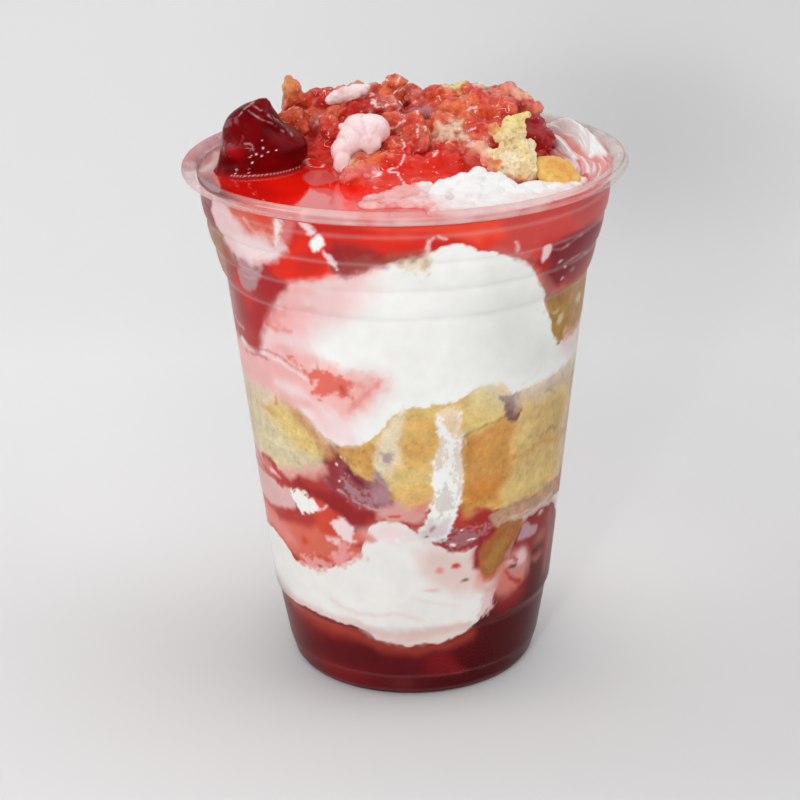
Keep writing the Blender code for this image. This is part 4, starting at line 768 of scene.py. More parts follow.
def outer_side():
    """Radius and height up the outside of the cup, to under the roll of the rim."""
    side = [(FOOT_RADIUS, 0.0), *HEEL]
    for (r0, z0), (r1, z1) in zip(STACKING_RINGS, STACKING_RINGS[1:]):
        side.append((r0, z0))
        side += [(r0 + (r1 - r0) * share + BAND_BULGE * bulge, z0 + (z1 - z0) * share)
                 for share, bulge in BAND_BULGE_AT]
    return np.array([*side, STACKING_RINGS[-1], (45.5, 115.2), (45.8, 116.4)])


OUTER_SIDE = outer_side()


def wall_radius(height):
    """Outside radius of the contents at a height: the cup's outside less the wall, and a little into it."""
    sizes = bpy.context.scene.trifle_sizes
    return np.interp(height, OUTER_SIDE[:, 1], OUTER_SIDE[:, 0]) - (sizes.wall - sizes.into_wall) / MM


# Painting
def dip(name):
    """A palette colour, or the user's, with its finish: red, green, blue, porous, wet."""
    chosen = getattr(bpy.context.scene.trifle_colours, name, None)
    porous = 1.0 if name.startswith(("cake", "crust")) else 0.0
    wet = 0.35 if name.startswith("cream") else 0.0
    if name.startswith(("sauce", "jam", "glint", "bubble")):
        wet = 1.0
    return np.array([*(linear(PALETTE[name]) if chosen is None else chosen), porous, wet])


def base_coat(points, name):
    """Paint of one colour for every point."""
    return dip(name) + np.zeros((len(points), 1))


def coat(paint, name, cover):
    """A palette colour laid over the paint as fully as the cover says at each point."""
    paint += (dip(name) - paint) * np.reshape(cover, (-1, 1))


def stain_cover(stain, angle, height, points):
    """Which points a stain reaches and how fully it covers them: 1 inside, 0 outside, eased across its
    edge, with the edge pushed about by noise."""
    kind, _, *given, shape = stain
    if kind != "streak":
        given.insert(0, 0.0)
    usual = (0.0, 1.0 if kind == "patch" else 0.6, 0.0, 2.0, 1.0)
    width, soft, lace, size, strength = (*given, *usual[len(given):])
    half_across, half_up, *turn = shape[0][2:] or (0, 0)
    line = np.array([place[:2] for place in shape], float)
    middle = line.mean(axis=0)
    per_degree = math.radians(1) * float(wall_radius(middle[1]))
    soft = 1.2 * soft + 0.3
    margin = soft + 2 * lace + width + max(half_across, half_up)
    u = (angle - middle[0] + 180) % 360 - 180
    reach = np.ptp(line[:, 0]) / 2 * 1.5 + margin / per_degree
    low, high = line[:, 1].min() - margin, line[:, 1].max() + margin
    found = np.flatnonzero((np.abs(u) < reach + 4) & (height > low) & (height < high))
    if not len(found):
        return found, 0.0
    u, v = u[found] * per_degree, height[found]
    if kind == "spot":
        turn = math.radians(turn[0] if turn else 0)
        v = v - middle[1]
        along = (u * math.cos(turn) + v * math.sin(turn)) / half_across
        across = (v * math.cos(turn) - u * math.sin(turn)) / half_up
        away = (np.hypot(along, across) - 1) * min(half_across, half_up)
    else:
        line = closed_curve(line, 4 * len(line)) if kind == "patch" else line
        line = (line - (middle[0], 0)) * (per_degree, 1)
        away = line_distance(u, v, line, kind == "patch") - width
    if lace:
        away = away + lace * clouds(points[found], size, int(abs(middle[0]) * 7 + middle[1]))
    return found, strength * ease(0.5 - away / soft)


def back_stains():
    """Stains for the side away from the front, of the same kinds as in front, at seeded places."""
    draw = np.random.default_rng(7)
    kinds = table("""
sauce_glow 15 18, cream_wash 20 31, cream_pink 22 33, sauce_coral 33 44, cream_dull_pink 38 50, cream 40 50,
jam 50 58, cake_yellow 56 72, cake_brown 56 72, cake_pale 56 72, crust 60 73, cream_flush 77 92,
cream_pink 77 95, cream_smear 100 112, sauce_bright 108 116, sauce_maroon 98 110, cake_soaked 98 108
""")
    made = []
    for number in range(90):
        colour, low, high = kinds[number % len(kinds)]
        across, up = draw.uniform(2, 7), draw.uniform(0.8, 2.6)
        angle, height = 180 + draw.uniform(-80, 80), draw.uniform(low, high)
        edge = [draw.uniform(0.6, 2.6), draw.uniform(0.6, 1.6), draw.uniform(1.2, 3)]
        made.append(("spot", colour, *edge, 0.85, [(angle, height, across, up, draw.uniform(-20, 20))]))
    return made


def paint_wall(points):
    """Colour and finish of the wall side: bands between the curves where the layers meet, each edge pushed
    about by noise, then the stains, one over the other. All of it is drawn at places shifted by noise, so
    that no edge runs straight."""
    shift = [0.5 * clouds(points, 3.6, 201 + k) for k in range(2)]
    height = points[:, 2] + shift[1]
    angle = angle_of(points) + 57.3 * shift[0] / wall_radius(height)
    sweep = clouds(points, 9.0, 3, octaves=2)[:, None]
    paint = base_coat(points, "sauce")
    bands = [(SAUCE_TOP, "cream_low", 0.35, 1.4, 0.5), (LOWER_CREAM_TOP, "sauce_mid", 0.5, 1.6, 0.7),
             (MIDDLE_SAUCE_TOP, "cake", 0.5, 1.4, 0.8), (CAKE_TOP, "cream", 0.5, 1.0, 0.6),
             (UPPER_CREAM_TOP, "sauce_top", 0.4, 1.4, 0.6)]
    for number, ((knots, _), colour, lace, size, soft) in enumerate(bands):
        edge = height - round_curve(knots, angle) + lace * clouds(points, size, 40 + number)
        coat(paint, colour, ease(0.5 + edge / soft))
    cake_on_left = (paint[:, 3] > 0.5) & (height < 77)
    coat(paint, "cake_pale", ease((-24 - angle) / 4) * ease((angle + 122) / 26) * cake_on_left)
    for stain in [*back_stains(), *STAINS]:
        found, cover = stain_cover(stain, angle, height, points)
        if len(found):
            paint[found] += (dip(stain[1]) - paint[found]) * np.reshape(cover, (-1, 1))
    blotch = clouds(points, 2.4, 204)[:, None]
    paint[:, :3] *= 1 + 0.04 * sweep + (0.01 + 0.13 * paint[:, 3:4] + 0.05 * paint[:, 4:5]) * blotch
    return paint


# Meshes
def strip(grid, wrap_u, wrap_v):
    """Faces between neighbouring points of a grid, joined round where it wraps."""
    rows, columns = grid.shape
    i = np.arange(rows if wrap_u else rows - 1)[:, None]
    j = np.arange(columns if wrap_v else columns - 1)[None, :]
    below, beside = (i + 1) % rows, (j + 1) % columns
    corners = [grid[i, j], grid[below, j], grid[below, beside], grid[i, beside]]
    return np.stack(corners, axis=-1).reshape(-1, 4)


def fan(ring, tip):
    """Triangles from each side of a closed ring to one point."""
    return np.stack([ring, np.roll(ring, -1), np.full(len(ring), tip)], axis=-1)


def ringed(rings, tips):
    """Points and faces of a skin over closed rings of points, shut by a point at each end."""
    grid = np.arange(len(rings) * len(rings[0])).reshape(len(rings), -1)
    points = np.concatenate([*rings, tips])
    last = len(points) - 1
    return points, [strip(grid, False, True), fan(grid[0], last - 1), fan(grid[-1], last)]


def set_layer(mesh, key, values):
    """A value or a colour for each point, as an attribute that a material can read."""
    if values.ndim == 2:
        layer, name = mesh.attributes.new(key, "FLOAT_COLOR", "POINT"), "color"
        values = np.hstack([values, np.ones((len(values), 1))])
    else:
        layer, name = mesh.attributes.new(key, "FLOAT", "POINT"), "value"
    layer.data.foreach_set(name, values.astype(np.float32).ravel())


def add_object(name, data):
    made = bpy.data.objects.new(name, data)
    bpy.context.scene.collection.objects.link(made)
    return made


def make_piece(name, points, faces, paint, material):
    """One object with smooth faces turned outwards, its points in millimetres, and the paint (red, green,
    blue, porous, wet) as attributes."""
    mesh = bpy.data.meshes.new(name)
    sides = [face for block in faces for face in np.asarray(block).tolist()]
    mesh.from_pydata(np.asarray(points) * MM, [], sides)
    shape = bmesh.new()
    shape.from_mesh(mesh)
    bmesh.ops.recalc_face_normals(shape, faces=shape.faces)
    shape.to_mesh(mesh)
    shape.free()
    mesh.shade_smooth()
    if paint is not None:
        for key, values in (("paint", paint[:, :3]), ("porous", paint[:, 3]), ("wet", paint[:, 4])):
            set_layer(mesh, key, values)
    mesh.materials.append(material)
    return add_object(name, mesh)


def place_piece(obj, nodes):
    """The piece moves with the whole part and stands for these nodes."""
    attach(obj, "root")
    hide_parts(*nodes)


def level(surface, angle, share):
    """Height of a layer's surface: the wall's curve outside, easing into the middle's height."""
    knots, middle = surface
    return middle + (round_curve(knots, angle) - middle) * ease((share - 0.4) / 0.6)


def pits(points, paint):
    """How deep the crumb's pores go at each point: small round hollows where a pore's middle is near, only
    where the paint is porous."""
    near, _, mark = pebbles(points, 1.5, 11)
    small, _, _ = pebbles(points, 0.8, 23)
    pore = bpy.context.scene.trifle_sizes.pore / MM
    deep = pore * np.clip(1 - near / 0.45, 0, 1) * (mark > 0.45) + 0.14 * np.clip(1 - small / 0.5, 0, 1)
    return (deep + 0.05 * np.maximum(clouds(points, 2.2, 31), 0)) * paint[:, 3]


# Materials
def node(tree, kind, inputs=(), **settings):
    """A shader node with its settings, and its inputs set to values or joined to other nodes' outputs."""
    made = tree.nodes.new("ShaderNode" + kind)
    for key, value in settings.items():
        setattr(made, key, value)
    for key, value in dict(inputs).items():
        if isinstance(value, bpy.types.NodeSocket):
            tree.links.new(value, made.inputs[key])
        else:
            made.inputs[key].default_value = value
    return made


def work_out(tree, operation, *values):
    return node(tree, "Math", enumerate(values), operation=operation).outputs[0]


def attribute(tree, name, output="Fac"):
    return node(tree, "Attribute", attribute_name=name).outputs[output]


def own_place(tree):
    """The piece's own coordinates, in metres."""
    return node(tree, "TexCoord").outputs["Object"]


def noise(tree, size, detail=2.0, roughness=0.5):
    """Noise of 0 to 1 over the piece's own coordinates, its lumps about size millimetres across."""
    inputs = {"Vector": own_place(tree), "Scale": 1 / (size * MM), "Detail": detail, "Roughness": roughness}
    return node(tree, "TexNoise", inputs).outputs[0]


def scaled(tree, colour, factor):
    return node(tree, "VectorMath", {0: colour, "Scale": factor}, operation="SCALE").outputs[0]


def start_material(name):
    """An empty node tree of a new material, and its output's surface socket."""
    material = bpy.data.materials.new(name)
    material.use_nodes = True
    tree = material.node_tree
    tree.nodes.clear()
    return material, tree, node(tree, "OutputMaterial").inputs["Surface"]


def add_sparkle(tree, colour, soak):
    """Small light dots and thin broken lines over the wet parts, as a lamp makes on syrup: the dots where a
    cell's middle is near, the lines where one noise is near its mean and another is high."""
    cells = node(tree, "TexVoronoi", {"Vector": own_place(tree), "Scale": 1 / (1.25 * MM)})
    shade = node(tree, "SeparateColor", {0: cells.outputs["Color"]})
    dot = work_out(tree, "LESS_THAN", cells.outputs["Distance"], 0.11)
    dot = work_out(tree, "MULTIPLY", dot, work_out(tree, "GREATER_THAN", shade.outputs[0], 0.6))
    off = work_out(tree, "ABSOLUTE", work_out(tree, "SUBTRACT", noise(tree, 3.4, 1.2, 0.4), 0.5))
    line = work_out(tree, "LESS_THAN", off, 0.0065)
    line = work_out(tree, "MULTIPLY", line, work_out(tree, "GREATER_THAN", noise(tree, 3.7, 1.0), 0.6))
    marks = work_out(tree, "MAXIMUM", dot, line)
    both = work_out(tree, "MULTIPLY", marks, work_out(tree, "MULTIPLY", soak, 0.85))
    return node(tree, "Mix", {0: both, 6: colour, 7: (0.9, 0.72, 0.68, 1)}, data_type="RGBA").outputs[2]


def food_material(name, specular, dry, wet, grain, pore_grain, relief, smooth, sparkle):
    """Food whose colour, porosity and wetness are painted on: roughness goes from dry to wet with the
    wetness, and fine noise varies the colour and roughens the surface, most where it is porous."""
    material, tree, surface = start_material(name)
    paint = attribute(tree, "paint", "Color")
    porous = attribute(tree, "porous")
    fine = work_out(tree, "SUBTRACT", noise(tree, 0.55, 3.0, 0.6), 0.5)
    broad = work_out(tree, "SUBTRACT", noise(tree, 1.7, 2.0), 0.5)
    mottle = work_out(tree, "ADD", work_out(tree, "MULTIPLY", fine, 1.3), broad)
    amount = work_out(tree, "MULTIPLY_ADD", porous, pore_grain - grain, grain)
    colour = scaled(tree, paint, work_out(tree, "MULTIPLY_ADD", mottle, amount, 1.0))
    soak = attribute(tree, "wet")
    if sparkle:
        colour = add_sparkle(tree, colour, soak)
    rough = work_out(tree, "MULTIPLY_ADD", soak, wet - dry, dry)
    height = work_out(tree, "MULTIPLY", fine, work_out(tree, "MULTIPLY_ADD", porous, 1 - smooth, smooth))
    bump = node(tree, "Bump", {"Height": height, "Strength": relief, "Distance": 0.4 * MM})
    shader = node(tree, "BsdfPrincipled", {
        "Base Color": colour, "Roughness": rough, "Specular IOR Level": specular, "Normal": bump.outputs[0]})
    tree.links.new(shader.outputs[0], surface)
    return material


# Specular, roughness dry and wet, grain plain and porous, relief, its share where plain, sparkle.
FOODS = {
    "wall_food": (0.04, 0.75, 0.35, 0.02, 0.31, 0.35, 0.02, False),
    "heap_food": (0.3, 0.36, 0.12, 0.34, 0.95, 1.0, 0.4, True),
    "berry_food": (0.08, 0.3, 0.14, 0.1, 0.3, 0.35, 0.25, False),
    "cream_food": (0.4, 0.5, 0.3, 0.05, 0.16, 0.2, 0.25, False),
    "crumb_food": (0.2, 0.8, 0.3, 0.14, 0.45, 0.5, 0.25, False),
}


def food(name):
    """The food of this name, made when it is first asked for."""
    return bpy.data.materials.get(name) or food_material(name, *FOODS[name])


def mix_shaders(tree, share, first, second):
    return node(tree, "MixShader", {0: share, 1: first.outputs[0], 2: second.outputs[0]})


def plastic_material():
    """Clear plastic without refraction: transparent, reflecting by Fresnel, with white haze, some of it
    painted highlight lines, where painted.
    """
    material, tree, surface = start_material("clear_plastic_looks")
    clear = node(tree, "BsdfTransparent", {"Color": (0.985, 0.985, 0.985, 1)})
    gloss = node(tree, "BsdfAnisotropic", {"Color": (1, 1, 1, 1), "Roughness": 0.08})
    rise = work_out(tree, "POWER", node(tree, "LayerWeight", {"Blend": 0.5}).outputs["Facing"], 5.0)
    plain = mix_shaders(tree, work_out(tree, "MULTIPLY_ADD", rise, 0.2, 0.005), clear, gloss)
    white = node(tree, "BsdfDiffuse", {"Color": attribute(tree, "tint", "Color")})
    tree.links.new(mix_shaders(tree, attribute(tree, "haze"), plain, white).outputs[0], surface)
    return material


def pool_material():
    """Glossy liquid of the painted colour."""
    material, tree, surface = start_material("pool_looks")
    shader = node(tree, "BsdfPrincipled", {
        "Base Color": attribute(tree, "paint", "Color"), "Roughness": 0.04, "IOR": 1.5})
    tree.links.new(shader.outputs[0], surface)
    return material


# Cup
def cup_rows():
    """Radius, height and haze up the outside, over the roll and down the inside. Corners are rounded by
    averaging; thin hazy lines on the stacking rings and the heel's edges are painted highlights."""
    height = np.concatenate([np.arange(0.4, 21, 0.4), np.arange(22, 92, 5), np.arange(92.6, 116.2, 0.4)])
    radius = np.mean([np.interp(height + shift, OUTER_SIDE[:, 1], OUTER_SIDE[:, 0])
                      for shift in (-0.5, -0.25, 0, 0.25, 0.5)], axis=0)
    near, heel = (np.abs(height[:, None] - np.array(marks)).min(axis=1)
                  for marks in ([z for _, z in STACKING_RINGS], HEEL_EDGES))
    haze = 0.11 * np.clip(1 - near / 0.7, 0, 1) + 0.03 * np.clip(1 - heel / 0.6, 0, 1)
    turn = np.radians(np.linspace(-130, 165, 60))
    roll = np.stack([ROLL_CENTRE[0] + (ROLL_HALF[0] - 0.06) * np.cos(turn),
                     ROLL_CENTRE[1] + ROLL_HALF[1] * np.sin(turn), 0 * turn], axis=1)
    foot = np.array([[FOOT_RADIUS - 1.4, 0.0, 0.1], [FOOT_RADIUS - 0.2, 0.0, 0.2]])
    outside = np.stack([radius, height, haze], axis=1)
    wall = bpy.context.scene.trifle_sizes.wall / MM
    inside = np.stack([radius - wall, height, 0 * height], axis=1)[height > FLOOR_LEVEL + 0.4][::-1]
    return np.concatenate([foot, outside, roll, inside, [[FOOT_RADIUS, FLOOR_LEVEL, 0.0]]])


def roll_haze(points, angle):
    """Haze of the rim's roll: by angle for its upper and its lower side, and broken painted highlight lines
    along it.
    """
    outwards = (from_axis(points) - ROLL_CENTRE[0]) / ROLL_HALF[0]
    turn = np.degrees(np.arctan2((points[:, 2] - ROLL_CENTRE[1]) / ROLL_HALF[1], outwards))
    lower = ease((38 - turn) / 22)
    haze = round_curve(UPPER_HAZE, angle) * (1 - lower) + round_curve(LOWER_HAZE, angle) * lower
    along = np.stack([angle * 0.55, points[:, 2] * 0.6, 0 * angle], axis=1)
    haze = haze * (1 + 0.5 * clouds(along, 2.6, 5))
    strength = cloudy(along, 6.0, 6, 0.55, 1.4)
    for middle, width, amount in ROLL_LINES:
        haze = haze + amount * strength * peak((turn - middle) / width)
    return np.clip(haze, 0.02, 0.85), turn


def build_cup():
    """The clear cup: its rows turned round the axis, hazy on the thick roll, with thin hazy lines that are
    painted highlights on the stacking rings, the heel's edges and along the roll, and on the roll tinted by
    what stands behind, with two darker lines along it on its right."""
    rows = cup_rows()
    columns = np.arange(CUP_COLUMNS) * 360 / CUP_COLUMNS
    points, faces = ringed(on_wall(columns, rows[:, :1], rows[:, 1:2]), [(0, 0, 0), (0, 0, FLOOR_LEVEL)])
    cup = make_piece("cup_looks", points, faces, None, plastic_material())
    angle = angle_of(points)
    rolled = points[:, 2] > 116.4
    haze_there, turn = roll_haze(points, angle)
    amount = np.where(rolled, haze_there, [*np.repeat(rows[:, 2], CUP_COLUMNS), 0, 0])
    left = ease((-70 - angle) / 14) * ease((160 + angle) / 40)
    right = ease((angle - 40) / 26)
    tint = linear(WALL_TINT) + np.zeros((len(points), 1))
    for code, cover in ((RIM_TINT, rolled), (RIM_TINT_LEFT, rolled * left), (RIM_TINT_RIGHT, rolled * right)):
        tint = tint + (linear(code) - tint) * cover[:, None]
    # Two darker lines along the roll on its right.
    groove = peak((turn - 64) / 7) + peak((turn - 12) / 7)
    tint = tint * (1 - 0.45 * rolled * right * groove)[:, None]
    set_layer(cup.data, "haze", amount)
    set_layer(cup.data, "tint", tint)
    place_piece(cup, ["cup"])


# Contents
def flat(height):
    return {0: height, 180: height}, height


def rows_between(low, high, angle):
    """The most rows any column of the wall side needs between two surfaces."""
    tall = np.max(round_curve(high[0], angle) - round_curve(low[0], angle))
    return max(4, int(math.ceil(tall / ROW_HEIGHT)) + 1)


def finish_piece(name, points, faces, wall_points):
    """Paints the piece, draws the pores in towards the axis, darkens them as painted shade and makes it: the
    first wall_points points are its wall side, the rest is hidden and takes the colour of the middle of it."""
    side = points[:wall_points]
    paint = paint_wall(side)
    paint = np.concatenate([paint, np.tile(np.median(paint, axis=0), (len(points) - wall_points, 1))])
    depth = pits(side, paint[:wall_points])
    # Painted shade: the deeper a pore, the darker its colour.
    paint[:wall_points, :3] *= (1.03 - 0.55 * depth)[:, None]
    scale = 1 - depth / from_axis(side)
    side = side * np.stack([scale, scale, np.ones(wall_points)], axis=1)
    points = np.concatenate([side, points[wall_points:]])
    piece = make_piece(f"{name}_looks", points, faces, paint, food("wall_food"))
    piece.data.set_sharp_from_angle(angle=math.radians(65))
    place_piece(piece, [name])


def build_layer(name):
    """A full layer: rows up the wall side, then rings inwards over its top and its underside to a point on
    the axis each."""
    low, high = LAYERS[name]
    low = low or flat(FLOOR_LEVEL - 0.8)
    high = high or flat(POOL_LEVEL - 0.6)
    angle = WALL_ANGLES
    count = rows_between(low, high, angle)
    bottom, top = round_curve(low[0], angle), round_curve(high[0], angle)
    height = bottom + (top - bottom) * np.linspace(0, 1, count)[:, None]
    rings = [on_wall(angle, inward * wall_radius(edge), level(surface, angle, inward))
             for surface, edge in ((high, top), (low, bottom)) for inward in (0.85, 0.6, 0.3)]
    side = on_wall(angle, wall_radius(height), height)
    points = np.concatenate([*side, *rings, [(0, 0, high[1]), (0, 0, low[1])]])
    columns = len(angle)
    grid = np.arange((count + 6) * columns).reshape(-1, columns)
    end = len(points) - 1
    under = grid[[0, count + 3, count + 4, count + 5]]
    faces = [strip(grid[:count + 3], False, True), strip(under, False, True),
             fan(grid[count + 2], end - 1), fan(grid[count + 5], end)]
    finish_piece(name, points, faces, count * columns)


def build_cake_chunk(name):
    """A sector of the cake layer: for each angle a loop up the wall and back round the core, with both end
    loops closed by a point."""
    first, last = CAKE_CHUNKS[name]
    turns = np.concatenate([WALL_ANGLES - 360, WALL_ANGLES])
    turns = turns[(turns >= first - 0.01) & (turns <= last + 0.01)]
    count = rows_between(MIDDLE_SAUCE_TOP, CAKE_TOP, turns)
    bottom, top = (round_curve(knots, turns) for knots, _ in (MIDDLE_SAUCE_TOP, CAKE_TOP))
    height = bottom + (top - bottom) * np.linspace(0, 1, count)[:, None]
    rows = [*on_wall(turns, wall_radius(height), height)]
    inwards = (0.7, 0.3, 0.04)
    for surface, edge, shares in ((CAKE_TOP, top, inwards), (MIDDLE_SAUCE_TOP, bottom, inwards[::-1])):
        rows += [on_wall(turns, inward * wall_radius(edge), level(surface, turns, inward))
                 for inward in shares]
    points = np.concatenate(rows)
    columns = len(turns)
    grid = np.arange(len(points)).reshape(-1, columns)
    ends = [points[grid[:, column]].mean(axis=0) for column in (0, -1)]
    end = len(points) + 1
    faces = [strip(grid, True, False), fan(grid[:, 0], end - 1), fan(grid[:, -1], end)]
    finish_piece(name, np.concatenate([points, ends]), faces, count * columns)


def build_wall_piece(name, depth, outline):
    """A piece let into the layers: rings from the middle of its outline to its edge on the wall, the
    outermost dipping under the layers' surface, then its inner side."""
    around = int(9 * len(outline) + 60)
    curve = closed_curve(outline, around)
    middle = curve.mean(axis=0)
    half_width = max(np.ptp(curve[:, 0]) * 0.7, np.ptp(curve[:, 1])) / 2
    shares = np.linspace(0, 1, int(half_width / 0.4) + 3)[1:]
    rings = []
    for share in shares:
        at = middle + (curve - middle) * share
        out = LET_IN_FURTHER - 0.4 * ease((share - 0.86) / 0.14)
        rings.append(on_wall(at[:, 0], wall_radius(at[:, 1]) + out, at[:, 1]))
    rings.append(on_wall(curve[:, 0], wall_radius(curve[:, 1]) - depth, curve[:, 1]))
    tips = [on_wall(middle[0], wall_radius(middle[1]) + out, middle[1]) for out in (LET_IN_FURTHER, -depth)]
    points, faces = ringed(rings, tips)
    last, seen = len(points) - 1, len(shares) * around
    order = np.array([*range(seen), last - 1, *range(seen, last - 1), last])
    place = np.argsort(order)
    finish_piece(name, points[order], [place[block] for block in faces], seen + 1)


def build_pool():
    """The liquid's surface: a thin disc that climbs the wall. On its left it is pink, a painted reflection of
    the bright backdrop, and round the strawberry's foot it has a pale streak, a painted reflection too; under
    the rim in front of that it is dark. The films between the strawberry and the heap are painted
    reflections, and the thin lines there painted highlights."""
    columns = np.arange(CUP_COLUMNS) * 360 / CUP_COLUMNS
    edge = float(wall_radius(POOL_LEVEL))
    climb = edge - np.array([2.4, 1.8, 1.3, 0.9, 0.6, 0.35, 0.15, 0])
    radius = np.concatenate([np.linspace(1, 42, 80), climb, [edge + 0.14, edge - 0.02, edge - 3]])
    height = POOL_LEVEL + 0.55 * np.exp(-np.abs(edge - radius) / 0.6)
    height[-3:] = POOL_LEVEL + np.array([0.9, -0.8, -0.8])
    points, faces = ringed(on_wall(columns, radius[:, None], height[:, None]),
                           [(0, 0, POOL_LEVEL), (0, 0, POOL_LEVEL - 0.8)])
    x, y, _ = points.T
    angle, away = angle_of(points), from_axis(points)
    wobble = 3 * clouds(points, 7.0, 121)
    paint = base_coat(points, "pool")
    coat(paint, "pool_deep", 0.9 * ease((-40 + wobble - angle) / 14) * ease((away - 30) / 6))
    left = ease((-80 + wobble - angle) / 10) * ease((angle + 176) / 50) * ease((away - 30) / 5)
    coat(paint, "pool_pink", 0.92 * left)
    dark = ease((-50 + wobble - angle) / 8) * ease((angle + 86) / 8) * ease((away - 41.6) / 1.2)
    coat(paint, "pool_dark", 0.95 * dark)
    coat(paint, "pool_pale", 0.8 * ease(1.4 - line_distance(x, y, POOL_STREAK) / 0.9))
    for outline in POOL_FILMS:
        film = line_distance(x, y, closed_curve(outline, 60), True)
        coat(paint, "pool_film", 0.85 * ease((0.12 * wobble - film) / 0.5))
    film = line_distance(x, y, closed_curve(FILM_SEEP, 60), True)
    coat(paint, "pool_film", 0.8 * ease((3.6 + 0.6 * wobble - film) / 5))
    for line in POOL_LINES:
        coat(paint, "glint", 0.85 * ease(1.5 - line_distance(x, y, line) / 0.16))
    pool = make_piece("pool_looks", points, faces, paint, pool_material())
    place_piece(pool, ["top_sauce"])


# Toppings
def melt_together(balls, voxel):
    """Points, normals and faces of the skin round many balls, each x, y, z and three radii, from a voxel
    remesh of them all."""
    shape = bmesh.new()
    bmesh.ops.create_icosphere(shape, subdivisions=3, radius=1)
    ball = np.array([vertex.co for vertex in shape.verts])
    sides = np.array([[vertex.index for vertex in face.verts] for face in shape.faces])
    shape.free()
    balls = np.array(balls, float)
    points = balls[:, None, :3] + ball * balls[:, None, 3:]
    faces = sides + len(ball) * np.arange(len(balls))[:, None, None]
    mesh = bpy.data.meshes.new("melting")
    mesh.from_pydata(points.reshape(-1, 3) * MM, [], faces.reshape(-1, 3).tolist())
    obj = add_object("melting", mesh)
    remesh = obj.modifiers.new("remesh", "REMESH")
    remesh.mode = "VOXEL"
    remesh.voxel_size = voxel * MM
    bpy.context.view_layer.update()
    made = bpy.data.meshes.new_from_object(obj.evaluated_get(bpy.context.evaluated_depsgraph_get()))
    points, normals = np.empty(3 * len(made.vertices)), np.empty(3 * len(made.vertices))
    corners = np.empty(len(made.loops), int)
    made.vertices.foreach_get("co", points)
    made.vertex_normals.foreach_get("vector", normals)
    made.loops.foreach_get("vertex_index", corners)
    bpy.data.objects.remove(obj)
    bpy.data.meshes.remove(made)
    bpy.data.meshes.remove(mesh)
    return points.reshape(-1, 3) / MM, normals.reshape(-1, 3), corners.reshape(-1, 4)


def within_cup(points):
    """Points no lower than the sunk level and no further out than the inside of the rim."""
    points = points.copy()
    points[:, 2] = np.maximum(points[:, 2], SUNK_LEVEL)
    limit = np.interp(points[:, 2], [115.9, 117.2, 119.4, 119.6], [45.0, 45.7, 45.7, 99])
    points[:, :2] *= np.minimum(1, limit / np.maximum(from_axis(points), 1e-6))[:, None]
    return points


def add_topping(node_name, looks, points, faces, paint):
    """One topping's piece, kept within the cup and named after the node that it stands for."""
    name = "heap" if node_name == "crumb_heap" else node_name
    piece = make_piece(f"{name}_looks", within_cup(points), faces, paint, food(looks))
    place_piece(piece, [node_name])


def draw_lines(points, normals, paint, drawn, width, strength=0.75, colour="glint"):
    """Thin lines on what faces the front. They lie across and up in a plane 11 mm before the axis, as seen
    from in front and above."""
    across, up = points[:, 0] * 452 / (463 + points[:, 1]), points[:, 2] - 0.384 * (points[:, 1] + 11)
    facing = ease((0.36 * normals[:, 2] - 0.93 * normals[:, 1] + 0.1) / 0.4)
    for line in drawn:
        coat(paint, colour, strength * facing * ease(1.5 - line_distance(across, up, line) / width))


def knobbly(lumps, count, share, seed):
    """The lumps with smaller balls set about their upper sides, count for each."""
    draw = np.random.default_rng(seed)
    balls = []
    for x, y, z, radius, *stretch in lumps:
        stretch = stretch[0] if stretch else 1.0
        balls.append((x, y, z, radius * 0.9, radius * 0.9, radius * stretch * 0.9))
        for _ in range(count):
            way = draw.normal(size=3)
            way /= np.linalg.norm(way)
            way[2] = abs(way[2]) * 0.95 - 0.1
            small = max(radius, 2.0) * share * draw.uniform(0.5, 1.2)
            out = radius - small * 0.7
            balls.append((x + way[0] * out, y + way[1] * out, z + way[2] * out * stretch, small,
                          small * draw.uniform(0.8, 1.2), small * draw.uniform(0.75, 1.1)))
    return balls


def heap_bed():
    """Balls that make the low bed of syrup and crumb under the lumps, out to the heap's edge."""
    balls = []
    for angle in np.arange(0, 360, 9.0):
        reach = float(round_curve(HEAP_REACH, np.array([angle]))[0])
        turn = math.radians(angle)
        for share in (0.2, 0.4, 0.6, 0.78, 0.9):
            x = HEAP_CENTRE[0] + share * reach * math.cos(turn)
            y = HEAP_CENTRE[1] + share * reach * math.sin(turn)
            balls.append((x, y, 116.2, 4.0, 4.0, 1.3 + 2.6 * (1 - share ** 2)))
    return balls


